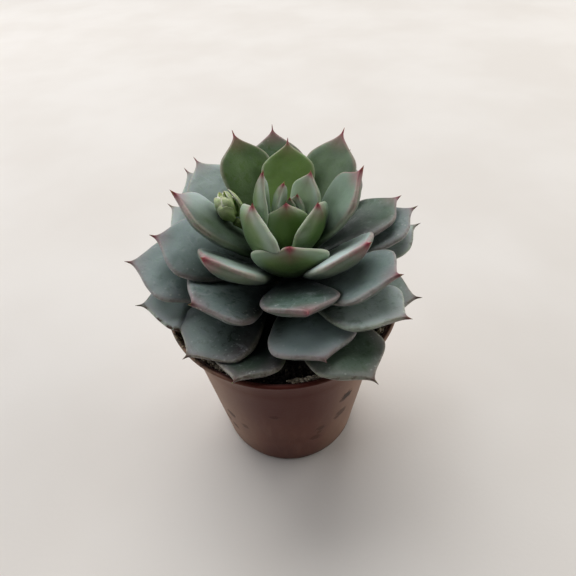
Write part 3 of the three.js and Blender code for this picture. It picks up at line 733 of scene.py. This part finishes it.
def leaf_shape():
    """A fleshy leaf lying along +X with its root at the origin and its upper side up."""
    shape = Shape("leaf shape", {**LEAF_INPUTS, "Seed": 0.0, "Material": None})
    want = shape.input
    tube = shape.geometry("MeshCylinder", {"fill_type": "TRIANGLE_FAN"}, Vertices=want("Sides"),
                          Side_Segments=want("Rings"), Radius=1.0, Depth=1.0)
    spot = shape.geometry("InputPosition")
    side_x, side_y, level = parts_of(spot)
    reach = (side_x * side_x + side_y * side_y) ** 0.5
    along = 1.0 - larger(0.5 - level, 0.0) ** want("Ring Spread")

    def past(start):
        """How far along the leaf is past this input, as a share of what is left there."""
        return share((along - want(start)) / (1.0 - want(start)))

    # The outline: a narrow root, the widest place, round shoulders and a drawn-out point.
    root_share = smaller(want("Root Width") / want("Width"), want("Root Share Most"))
    swell = sine((math.pi / 2) * smaller(along / want("Widest At"), 1.0)) ** FORM["swell"]
    ends = larger(1.0 - past("Widest At") ** want("Shoulder"), 0.0) ** want("Cusp")
    outline = want("Width") / 2 * (root_share + (1.0 - root_share) * swell) * ends
    left = (1.0 - along) * want("Length")
    point = want("Point Width") * 0.5 * share(left / want("Point Length")) ** FORM["point taper"]
    half_width = larger(outline, larger(point, FORM["least half width"]))

    # The thickness, and how far the upper side is hollowed.
    rise = sine((math.pi / 2) * smaller(along / want("Thickest At"), 1.0)) ** FORM["thickening"]
    thin = larger(1.0 - past("Thickest At") ** FORM["thin late"], 0.0) ** FORM["thin to"]
    root_thick = want("Root Thick Share")
    body = want("Thick") * (root_thick + (1.0 - root_thick) * rise) * thin
    depth = larger(body, larger(point * FORM["point depth"], FORM["least depth"]))
    full = smaller(along / want("Full From"), 1.0)
    flat = 1.0 - want("Flat By") * past("Flat From")
    hollow = want("Trough") * half_width * full ** FORM["hollow"] * flat

    # The section: a nearly flat upper side, a round lower side with a soft keel towards the point.
    s = size_of(side_x)
    middle = hollow * (s ** want("Trough Round") - want("Trough Centre"))
    upper_share = want("Upper Share")
    upper_lift = upper_share * larger(1.0 - s ** want("Upper Square"), 0.0) ** FORM["upper round"]
    keel = fade(along, FORM["keel from"], FORM["keel to"]) * larger(1.0 - s * FORM["keel narrow"], 0.0)
    lower_round = larger(1.0 - s ** want("Lower Square"), 0.0) ** FORM["lower round"]
    lower_lift = (1.0 - upper_share) * lower_round + want("Keel") * keel
    is_upper = math_node("GREATER_THAN", side_y, 0.0)
    lift = depth * reach * (is_upper * upper_lift - (1.0 - is_upper) * lower_lift)

    # A gentle ripple of the margins, and one side a little fuller than the other.
    wave_place = vector(along * WAVES["along"], side_x * WAVES["across"], want("Seed"))
    waves = noise(wave_place, 1.0, 2.0) - 0.5
    lean = noise(vector(want("Seed"), *LOPSIDED["spot"]), 1.0, 0.0) - 0.5
    y = half_width * side_x * (1.0 + waves * WAVES["of width"] * want("Ripple"))
    y = y + half_width * lean * LOPSIDED["of width"] * sine(math.pi * along)
    z = middle * reach + lift + waves * want("Ripple") * s * s * full

    # The roll about the leaf's length, then the curl of its length into an arc.
    roll = want("Roll") * full
    rolled_y = y * cosine(roll) - z * sine(roll)
    rolled_z = y * sine(roll) + z * cosine(roll)
    start = want("Curl") / 2
    arc = want("Length") / (2.0 * sine(start))
    bend = want("Curl") * (along - 0.5)
    x = arc * (sine(bend) + sine(start)) - sine(bend) * rolled_z
    up = arc * (cosine(start) - cosine(bend)) + cosine(bend) * rolled_z

    to_tip = (left * left + (half_width * side_x) ** 2.0) ** 0.5
    marks = {
        "along": along, "across": side_x, "upper": side_y,
        "rim": half_width * (1.0 - s) * (USUAL_WIDTH / want("Width")) ** 0.6,
        "tip": to_tip * (USUAL_LENGTH / want("Length")) ** 0.7,
        **{label.lower(): want(label) for label in LEAF_LOOKS},
    }
    for label, value in marks.items():
        tube = shape.keep(tube, label, value)
    moved = shape.geometry("SetPosition", Geometry=tube, Position=vector(x, rolled_y, up))

    # Soft dents, as a fleshy leaf has.
    skin = shape.geometry("InputPosition")
    clear = share(shape.kept("along") / DENTS["from root"]) * share(shape.kept("tip") / DENTS["from tip"])
    shift = vector(*(want("Seed") * by for by in DENTS["shift"]), 0.0)
    uneven = noise(vector_math("ADD", skin, shift), DENTS["scale"], 2.0, 0.5) - 0.5
    dent = vector_math("SCALE", shape.geometry("InputNormal"), uneven * DENTS["depth"] * clear)
    return shape.close(shape.geometry("SetPosition", Geometry=moved, Offset=dent))


LEAF_TREE = leaf_shape()


def axis_at(height):
    moved = min(max((height - AXIS["base"]) / AXIS["rise"], 0), AXIS["most"])
    return Vector((AXIS["x"] + AXIS["lean x"] * moved, AXIS["y"] + AXIS["lean y"] * moved, height))


def root_radius(height):
    down = (ROOT_CONE["top"] - height) / (ROOT_CONE["top"] - ROOT_CONE["bottom"])
    return ROOT_CONE["top radius"] + (ROOT_CONE["bottom radius"] - ROOT_CONE["top radius"]) * down


def turned(degrees, axis):
    return Matrix.Rotation(math.radians(degrees), 4, axis)


def leaf_on(base, turn, offset, own, seed, material):
    """A leaf or scale in its place on the plant, and the direction its lower side faces.

    From the base it is turned about Z, moved by the offset, raised from level, and leant about its own Z.
    """
    values = {label: type(usual)(own.get(label.lower(), usual)) for label, usual in LEAF_INPUTS.items()}
    if abs(values["Curl"]) < STRAIGHT:
        values["Curl"] = STRAIGHT
    for label in ("Curl", "Roll"):
        values[label] = math.radians(values[label])
    mesh = grown(LEAF_TREE, {**values, "Seed": float(seed), "Material": material})
    stand = (base @ turned(turn, "Z") @ Matrix.Translation(offset)
             @ turned(-own["rise"], "Y") @ turned(own.get("lean", 0), "Z"))
    mesh.transform(stand)
    return mesh, stand.to_3x3() @ Vector((0, 0, -1))


def corners(mesh):
    places = np.empty(len(mesh.vertices) * 3, np.float32)
    mesh.vertices.foreach_get("co", places)
    return places.reshape(-1, 3).astype(float)


def pushes(places, down, tree, near, gap):
    """How far each of the near places has to move down to be clear of one inner surface."""
    push = np.zeros(len(places))
    for index in near:
        spot = Vector(places[index])
        surface, normal, _, distance = tree.find_nearest(spot)
        if (spot - surface).dot(normal) < 0:
            hit = tree.ray_cast(spot, down)
            if hit[0] is not None and hit[1].dot(down) > 0:
                push[index] = hit[3] + gap
        elif distance < gap and normal.dot(down) > 0:
            push[index] = gap - distance
    return push


def press_under(mesh, down, inner_trees, gap):
    """Dents a leaf where an inner leaf presses on it: what lies inside the inner leaf moves down and out."""
    places = corners(mesh)
    low, high = places.min(0), places.max(0)
    pairs = np.empty(len(mesh.edges) * 2, np.int32)
    mesh.edges.foreach_get("vertices", pairs)
    pairs = pairs.reshape(-1, 2)
    counts = np.bincount(pairs.ravel(), minlength=len(places))
    for tree, (inner_low, inner_high) in inner_trees:
        if (inner_low > high).any() or (inner_high < low).any():
            continue
        in_reach = (places > inner_low - DENT["search"]) & (places < inner_high + DENT["search"])
        push = pushes(places, down, tree, np.flatnonzero(in_reach.all(1)), gap)
        if not push.any():
            continue
        pressed = push.copy()
        for _ in range(DENT["steps"]):
            total = np.zeros(len(places))
            np.add.at(total, pairs[:, 0], pressed[pairs[:, 1]])
            np.add.at(total, pairs[:, 1], pressed[pairs[:, 0]])
            pressed = np.maximum(push, total / counts * DENT["softness"])
        places += pressed[:, None] * np.array(down)
    mesh.vertices.foreach_set("co", places.astype(np.float32).ravel())
    mesh.update()


def surface_tree(mesh):
    """A mesh's surface for searches, and its box."""
    places = corners(mesh)
    faces = [tuple(face.vertices) for face in mesh.polygons]
    return BVHTree.FromPolygons(places.tolist(), faces), (places.min(0), places.max(0))


def add_piece(name, mesh):
    """Makes a millimetre mesh the piece that stands for the CAD node of the same name."""
    mesh.transform(Matrix.Scale(MM, 4))
    piece = bpy.data.objects.new(f"{name}_look", mesh)
    scene.collection.objects.link(piece)
    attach(piece, "root")
    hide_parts(name)


# ------------------------------------------------------------
# The leaves
# ------------------------------------------------------------

standing = []
for tier, rows in LEAVES.items():
    slot, numbers, others = TIERS[tier]
    tier_look = {**dict(zip(TIER_COLUMNS, numbers)), **others}
    for number, (turn, rise, root, length, width, own) in enumerate(rows, 1):
        own = {**tier_look, "rise": rise, "length": length, "width": width, **own}
        mesh, down = leaf_on(
            Matrix.Translation(axis_at(root)), turn, (root_radius(root), 0, 0), own,
            len(standing) * LEAF_SEED_STEP, SKINS[own.get("skin", tier)],
        )
        press_under(mesh, down, standing, LEAF_GAP)
        standing.append(surface_tree(mesh))
        add_piece(f"{tier}_{number}", mesh)

# ------------------------------------------------------------
# Pot, soil and stem
# ------------------------------------------------------------


def steps(start, end, count):
    return [start + (end - start) * index / count for index in range(count + 1)]


def closed_mesh(name, places, sides):
    """A closed mesh of a first point, rings with this many sides, and a last point."""
    last = len(places) - 1 - sides
    faces = []
    for side in range(sides):
        after = (side + 1) % sides
        faces.append((0, 1 + after, 1 + side))
        for start in range(1, last, sides):
            above = start + sides
            faces.append((start + side, start + after, above + after, above + side))
        faces.append((last + side, last + after, len(places) - 1))
    mesh = bpy.data.meshes.new(name)
    mesh.from_pydata(places, [], faces)
    mesh.update()
    return mesh


def lathe(profile, sides):
    """A closed turned mesh; the profile of radii and heights starts and ends on the axis."""
    places = [(0, 0, profile[0][1])]
    for radius, height in profile[1:-1]:
        places += [(*on_circle(radius, 360 * side / sides), height) for side in range(sides)]
    return closed_mesh("turned", [*places, (0, 0, profile[-1][1])], sides)


def pot_profile():
    """The wall's section, from the middle of the underside out, up, over the lip and down inside."""
    edge, floor, lip_round = POT["foot edge"], POT["floor"], POT["lip round"]
    foot = outside_radius(edge)
    heights = steps(edge, POT["neck height"], POT["wall steps"])
    heights += steps(POT["neck height"], POT["height"] - lip_round, POT["flare steps"])[1:]
    profile = [(0, 0), *((foot - ring, 0) for ring in POT["underside rings"]), (foot - edge, 0)]
    profile.append((foot - POT["foot bevel"] * edge, POT["foot bevel"] * edge))
    profile += [(outside_radius(height), height) for height in heights]
    for angle in steps(0, 180, POT["lip steps"]):
        out, up = on_circle(lip_round, angle)
        profile.append((POT["lip"] - lip_round + out, POT["height"] - lip_round + up))
    profile += [(inside_radius(height), height) for height in reversed(heights[2:])]
    profile += [(inside_radius(floor + edge), floor + edge), (inside_radius(floor) - edge, floor)]
    return [*profile, (0, floor)]


def pot_mesh():
    """The pot's turned body, with holes cut through its floor."""
    holder = bpy.data.objects.new("pot blank", lathe(pot_profile(), POT["sides"]))
    scene.collection.objects.link(holder)
    drills = []
    for hole in range(POT["holes"]):
        x, y = on_circle(POT["hole circle"], (hole + 0.5) * 360 / POT["holes"])
        low, high, radius = POT["drill from"], POT["drill to"], POT["hole"]
        drill_mesh = lathe([(0, low), (radius, low), (radius, high), (0, high)], POT["hole sides"])
        drill_mesh.transform(Matrix.Translation((x, y, 0)))
        drill = bpy.data.objects.new("drill", drill_mesh)
        scene.collection.objects.link(drill)
        cut = holder.modifiers.new("hole", "BOOLEAN")
        cut.operation = "DIFFERENCE"
        cut.solver = "EXACT"
        cut.object = drill
        drills.append(drill)
    graph = bpy.context.evaluated_depsgraph_get()
    graph.update()
    mesh = bpy.data.meshes.new_from_object(holder.evaluated_get(graph), depsgraph=graph)
    for spare in (*drills, holder):
        bpy.data.objects.remove(spare)
    mesh.shade_smooth()
    mesh.set_sharp_from_angle(angle=math.radians(POT["crisp from"]))
    mesh.materials.clear()
    mesh.materials.append(pot_plastic())
    return mesh


add_piece("pot", pot_mesh())


def lumpy_crumb(shape):
    """One crumb of peat about 1 mm in radius, as a part of a shape tree."""
    spot = shape.geometry("InputPosition")
    ball = shape.geometry("MeshIcoSphere", Radius=1.0, Subdivisions=2)
    lumps = vector_math("SCALE", spot, noise(spot, 1.6, 1.0) * 0.9 - 0.5)
    return shape.geometry("SetPosition", Geometry=ball, Offset=lumps)


def soil_shape():
    """Peat: the mound's surface made uneven, with crumbs of many sizes scattered over it."""
    shape = Shape("peat with crumbs", {"Soil": "geometry", **PEAT_INPUTS, "Material": None})
    want = shape.input
    spot = shape.geometry("InputPosition")
    height = parts_of(spot)[2]
    bumps = (noise(spot, 0.5, 4.0, 0.6) - 0.5) * want("Unevenness") * fade(height, 44.0, 45.4)
    uneven = shape.geometry("SetPosition", Geometry=want("Soil"), Offset=vector(0.0, 0.0, bumps))
    ground = shape.keep(uneven, "chance", 0.1)
    is_top = math_node("GREATER_THAN", height, want("Top From"))
    spread = shape.geometry("DistributePointsOnFaces", Mesh=ground, Density=want("Crumbs"), Seed=want("Seed"),
                            Selection=is_top)
    points = shape.keep(spread, "chance", shape.random(0.0, 1.0, 11))
    size = want("Smallest") + (want("Largest") - want("Smallest")) * shape.random(0.0, 1.0, 21) ** 3.0
    spin = vector(*(shape.random(0.0, 6.28, seed) for seed in (31, 32, 33)))
    stretch = vector(size, size * shape.random(0.6, 1.3, 41), size * shape.random(0.5, 1.0, 42))
    placed = shape.geometry("InstanceOnPoints", Points=points, Instance=lumpy_crumb(shape), Scale=stretch,
                            Rotation=spin)
    return shape.close(placed, ground)


def soil_base():
    """The soil's body: a little off the pot's wall and floor, and mounded on top."""
    low = POT["floor"] + SOIL["gap"]
    edge = inside_radius(SOIL["edge"]) - SOIL["edge gap"]
    profile = [(0, low), (inside_radius(low) - SOIL["foot round"], low)]
    side = [low + 1, *steps(SOIL["side from"], SOIL["side to"], SOIL["side steps"])]
    profile += [(inside_radius(height) - SOIL["gap"], height) for height in side]
    shoulder = SOIL["top"] - SOIL["drop"]
    for ring in range(SOIL["rings"]):
        radius = edge * (1 - ring / SOIL["rings"])
        if radius > SOIL["mound"]:
            up = (edge - radius) / (edge - SOIL["mound"])
            height = SOIL["edge"] + (shoulder - SOIL["edge"]) * up
        else:
            height = SOIL["top"] - SOIL["drop"] * radius / SOIL["mound"]
        profile.append((radius, height))
    profile.append((0, SOIL["top"]))
    return lathe(profile, SOIL["sides"])


add_piece("potting_soil", grown(soil_shape(), {**PEAT_INPUTS, "Material": peat()}, soil_base()))


def stem_shape():
    """The short stem: a leaning, tapering trunk, ringed by the scars of leaf roots."""
    shape = Shape("stem", {**STEM_INPUTS, "Material": None})
    want = shape.input
    tube = shape.geometry("MeshCylinder", {"fill_type": "TRIANGLE_FAN"}, Vertices=want("Sides"),
                          Side_Segments=want("Rings"), Radius=1.0, Depth=1.0)
    x, y, level = parts_of(shape.geometry("InputPosition"))
    up = level + 0.5
    height = want("Foot") + (want("Top") - want("Foot")) * up
    scars = sine(height * (2 * math.pi) / want("Scar Step")) * want("Scar Depth")
    wobble = (noise(vector(x * 1.5, y * 1.5, height * 0.5), 1.0, 2.0) - 0.5) * 0.5
    taper = want("Foot Radius") + (want("Top Radius") - want("Foot Radius")) * up
    radius = taper + (scars + wobble) * fade(up, 0.1, 0.2)
    lean = share((height - AXIS["base"]) / AXIS["rise"])
    place = vector(x * radius + lean * AXIS["lean x"], y * radius + lean * AXIS["lean y"] + AXIS["y"], height)
    return shape.close(shape.geometry("SetPosition", Geometry=tube, Position=place))


add_piece("stem", grown(stem_shape(), {**STEM_INPUTS, "Material": STEM_SKIN}))

# ------------------------------------------------------------
# Flower bud on its stalk, and the root fibres
# ------------------------------------------------------------


def smooth_route(points, count):
    """Points on one smooth curve through the given points."""
    ends = [points[0] * 2 - points[1], *points, points[-1] * 2 - points[-2]]
    route = []
    for index in range(len(points) - 1):
        before, start, end, after = ends[index:index + 4]
        slope, bend = end - before, 2 * before - 5 * start + 4 * end - after
        twist = 3 * start - before - 3 * end + after
        for step in range(count):
            t = step / count
            route.append(0.5 * (2 * start + slope * t + bend * t ** 2 + twist * t ** 3))
    route.append(points[-1])
    return route


def tube_mesh(route, radii, sides):
    """A closed tube along a route, with its own radius at each point."""
    places = [route[0][:]]
    across = (route[1] - route[0]).orthogonal().normalized()
    for index, (spot, radius) in enumerate(zip(route, radii)):
        ahead = (route[min(index + 1, len(route) - 1)] - route[max(index - 1, 0)]).normalized()
        across = (across - ahead * across.dot(ahead)).normalized()
        for turn in range(sides):
            x, y = on_circle(radius, 360 * turn / sides)
            places.append((spot + x * across + y * ahead.cross(across))[:])
    mesh = closed_mesh("tube", [*places, route[-1][:]], sides)
    mesh.shade_smooth()
    return mesh


route = smooth_route(STALK["route"], STALK["steps"])
radii = [STALK["radius"] * (1.0 + STALK["knobs"] * math.sin(STALK["knob turn"] * index))
         for index in range(len(route))]
stalk = tube_mesh(route, radii, STALK["sides"])
stalk.materials.append(STALK_SKIN)
add_piece("bud_stalk", stalk)

bud_line = BUD["top"] - BUD["foot"]
bud_lean = Vector((0, 0, 1)).rotation_difference(bud_line)
BUD_BASE = Matrix.Translation(BUD["foot"]) @ bud_lean.to_matrix().to_4x4()


def joined(name, meshes):
    """Several closed meshes as one mesh, attributes kept."""
    holders = []
    for mesh in meshes:
        holder = bpy.data.objects.new(name, mesh)
        scene.collection.objects.link(holder)
        holders.append(holder)
    with bpy.context.temp_override(active_object=holders[0], selected_editable_objects=holders):
        bpy.ops.object.join()
    result = holders[0].data
    bpy.data.objects.remove(holders[0])
    return result


core = []
for index in range(CORE["scales"]):
    up = index / (CORE["scales"] - 1)
    swell = math.sin(math.pi * (CORE["swell from"] + CORE["swell by"] * up))
    small = {
        **CORE_SCALE, "length": CORE["length"] - CORE["shorter by"] * up,
        "width": CORE["width"] - CORE["narrower by"] * up,
        "rise": CORE["rise"] - CORE["less rise"] * (1 - swell),
    }
    offset = (CORE["radius"] * swell, 0, CORE["first step"] + bud_line.length * CORE["reach"] * up)
    core.append(leaf_on(BUD_BASE, BUD["turn"] * index, offset, small, index * CORE["seed step"], BUD_SKIN)[0])
add_piece("flower_bud", joined("flower_bud", core))

outwards = []
for index in reversed(range(BUD["scales"])):
    offset = (BUD["first ring"] - BUD["ring"] * index, 0, BUD["first step"] + BUD["step"] * index)
    outwards.append((f"bud_scale_{index + 1}", BUD["first turn"] + BUD["turn"] * index, offset, SCALE,
                     BUD["first seed"] + index * BUD["seed step"]))
outwards.append(("bud_bract", BRACT["turn"], (BRACT["ring"], 0, BRACT["step"]), BRACT, BRACT["seed"]))
nested = []
for name, turn, offset, own, seed in outwards:
    mesh, down = leaf_on(BUD_BASE, turn, offset, own, seed, SCALE_SKIN)
    press_under(mesh, down, nested, SCALE_GAP)
    nested.append(surface_tree(mesh))
    add_piece(name, mesh)


def fibre_shape():
    """Frayed dead roots and crumbs of peat that cling to the inside of the rim, between two angles."""
    shape = Shape("root fibres", {
        "From": 4.6, "To": 5.0, "Ring": 26.0, "Height": 49.8, "Crumbs": 60, "Pale": 0.5, **FIBRE_INPUTS,
        "Seed": 1, "Material": None,
    })
    want, tree, seed = shape.input, shape.tree, shape.input("Seed")
    ring, level, band = want("Ring"), want("Height"), want("Band")

    def angle_at(chance):
        """An angle on the run, bunched up in clumps."""
        waves = want("Clumps") * (2 * math.pi)
        return want("From") + (want("To") - want("From")) * (chance + sine(chance * waves) / waves * 0.9)

    def on_wall(geometry, turn, height, inwards):
        """Moves points to their angle and height, along the flare, and inwards from it."""
        radius = ring + (height - level) * 0.7 - inwards
        place = vector(radius * cosine(turn), radius * sine(turn), height)
        return shape.geometry("SetPosition", Geometry=geometry, Position=place)

    # Strands: short, bowed tubes.
    line = shape.geometry("CurvePrimitiveLine")
    dense = shape.geometry("ResampleCurve", Curve=line, Count=10)
    many = shape.node("DuplicateElements", {"domain": "SPLINE"}, Geometry=dense, Amount=want("Strands"))
    number = Field(tree, many.outputs["Duplicate Index"])
    marked = shape.keep(Field(tree, many.outputs["Geometry"]), "strand", number)
    strand = shape.kept("strand")
    along = shape.geometry("SplineParameter")
    length = want("Longest") * shape.random(0.2, 1.0, seed, strand)
    turn = angle_at(shape.random(0.0, 1.0, seed + 1.0, strand)) + length * (along - 0.5)
    tilt = shape.random(-2.4, 2.4, seed + 2.0, strand)
    row = shape.random(-1.0, 1.0, seed + 3.0, strand)
    bow = noise(vector(along * 2.2, strand * 3.7, 0.0), 1.0, 2.0) - 0.5
    bow_in = noise(vector(along * 1.9, strand * 2.9, 9.0), 1.0, 2.0) - 0.5
    height = level + band * (row * 0.6 + tilt * (along - 0.5) + bow * 1.6)
    bent = on_wall(marked, turn, height, shape.random(0.0, 0.9, seed + 4.0, strand) - bow_in)
    tinted = shape.keep(bent, "chance", shape.random(0.0, 1.0, seed + 5.0, strand))
    section = shape.geometry("CurvePrimitiveCircle", Resolution=5, Radius=1.0)
    thick = want("Thickness") * shape.random(0.5, 1.6, seed + 6.0, strand) * (1.0 - 0.6 * along)
    tubes = shape.geometry("CurveToMesh", Curve=tinted, Profile_Curve=section, Fill_Caps=True, Scale=thick)

    # Crumbs between the strands.
    grains = shape.geometry("MeshLine", Count=want("Crumbs"))
    height = level + band * shape.random(-1.5, 0.7, seed + 7.0)
    inwards, turn = shape.random(0.0, 0.8, seed + 8.0), angle_at(shape.random(0.0, 1.0, seed + 9.0))
    strewn = on_wall(grains, turn, height, inwards)
    shaded = shape.keep(strewn, "chance", want("Pale") + shape.random(-0.9, 0.4, seed + 10.0))
    size = want("Crumb Size") * shape.random(0.3, 1.0, seed + 11.0)
    stretch = vector(size, size * shape.random(0.6, 1.3, seed + 12.0), size * 0.8)
    placed = shape.geometry("InstanceOnPoints", Points=shaded, Instance=lumpy_crumb(shape), Scale=stretch)
    return shape.close(placed, tubes)


FIBRE_TREE = fibre_shape()
FIBRE_SKIN = dry_fibre()
fibre_height = POT["height"] - FIBRE["below rim"]
for order, (name, (start, end, crumbs, pale)) in enumerate(FIBRE_RUNS.items()):
    mesh = grown(FIBRE_TREE, {
        **FIBRE_INPUTS, "From": math.radians(start), "To": math.radians(end),
        "Ring": inside_radius(fibre_height) - FIBRE["off wall"], "Height": fibre_height, "Crumbs": crumbs,
        "Pale": pale, "Seed": FIBRE["first seed"] + order * FIBRE["seed step"], "Material": FIBRE_SKIN,
    })
    add_piece(name, mesh)

# ------------------------------------------------------------
# Camera, floor and light
# ------------------------------------------------------------

CAMERA = {"place": (1.38, -73.19, 125.10), "down": 45.16, "roll": -2.98, "lens": 26.875, "sensor": 36}
# Places and sizes from here on are in metres, and power is in watts.
CAMERA_CLIP = 0.005
FLOOR_REACH = 3
# Each lamp: its name, its place and the place that it faces, its width and height, its power and its tint.
LAMPS = [
    ("window behind", (-0.15, 0.8, 1.25), (0, 0, 0.04), 1.4, 1.1, 18.5, "#ffffff"),
    ("left wall", (-0.8, 0.15, 0.42), (0, 0, 0.03), 0.9, 0.5, 3.1, "#f8faff"),
    ("right wall", (0.8, 0.15, 0.42), (0, 0, 0.03), 0.9, 0.5, 3.1, "#fffdfa"),
]
ROOM_TINT, ROOM_LIGHT = "#f4f4f4", 0.045


def add_camera():
    down, roll = math.radians(CAMERA["down"]), math.radians(CAMERA["roll"])
    ahead = Vector((0, math.cos(down), -math.sin(down)))
    level = Vector((1, 0, 0))
    above = level.cross(ahead)
    right = math.cos(roll) * level + math.sin(roll) * above
    up = -math.sin(roll) * level + math.cos(roll) * above
    lens = bpy.data.cameras.new("camera")
    lens.sensor_width = CAMERA["sensor"]
    lens.lens = CAMERA["lens"]
    lens.clip_start = CAMERA_CLIP
    camera = bpy.data.objects.new("camera", lens)
    turn = Matrix((right, up, -ahead)).transposed().to_4x4()
    camera.matrix_world = Matrix.Translation(Vector(CAMERA["place"]) * MM) @ turn
    scene.collection.objects.link(camera)
    scene.camera = camera


def add_floor():
    mesh = bpy.data.meshes.new("floor")
    ends = ((-1, -1), (1, -1), (1, 1), (-1, 1))
    mesh.from_pydata([(x * FLOOR_REACH, y * FLOOR_REACH, 0) for x, y in ends], [], [(0, 1, 2, 3)])
    mesh.materials.append(pale_floor())
    floor = bpy.data.objects.new("floor", mesh)
    scene.collection.objects.link(floor)


def add_lamp(name, place, target, width, height, power, tint):
    lamp = bpy.data.lights.new(name, "AREA")
    lamp.shape = "RECTANGLE"
    lamp.size = width
    lamp.size_y = height
    lamp.energy = power
    lamp.color = colour(tint)[:3]
    holder = bpy.data.objects.new(name, lamp)
    spot = Vector(place)
    aim = (Vector(target) - spot).to_track_quat("-Z", "Y").to_matrix().to_4x4()
    holder.matrix_world = Matrix.Translation(spot) @ aim
    scene.collection.objects.link(holder)


def add_room_light():
    room = bpy.data.worlds.new("room")
    room.use_nodes = True
    background = room.node_tree.nodes["Background"]
    background.inputs["Color"].default_value = colour(ROOM_TINT)
    background.inputs["Strength"].default_value = ROOM_LIGHT
    scene.world = room


add_camera()
add_floor()
for lamp in LAMPS:
    add_lamp(*lamp)
add_room_light()
scene.view_settings.view_transform = "Standard"
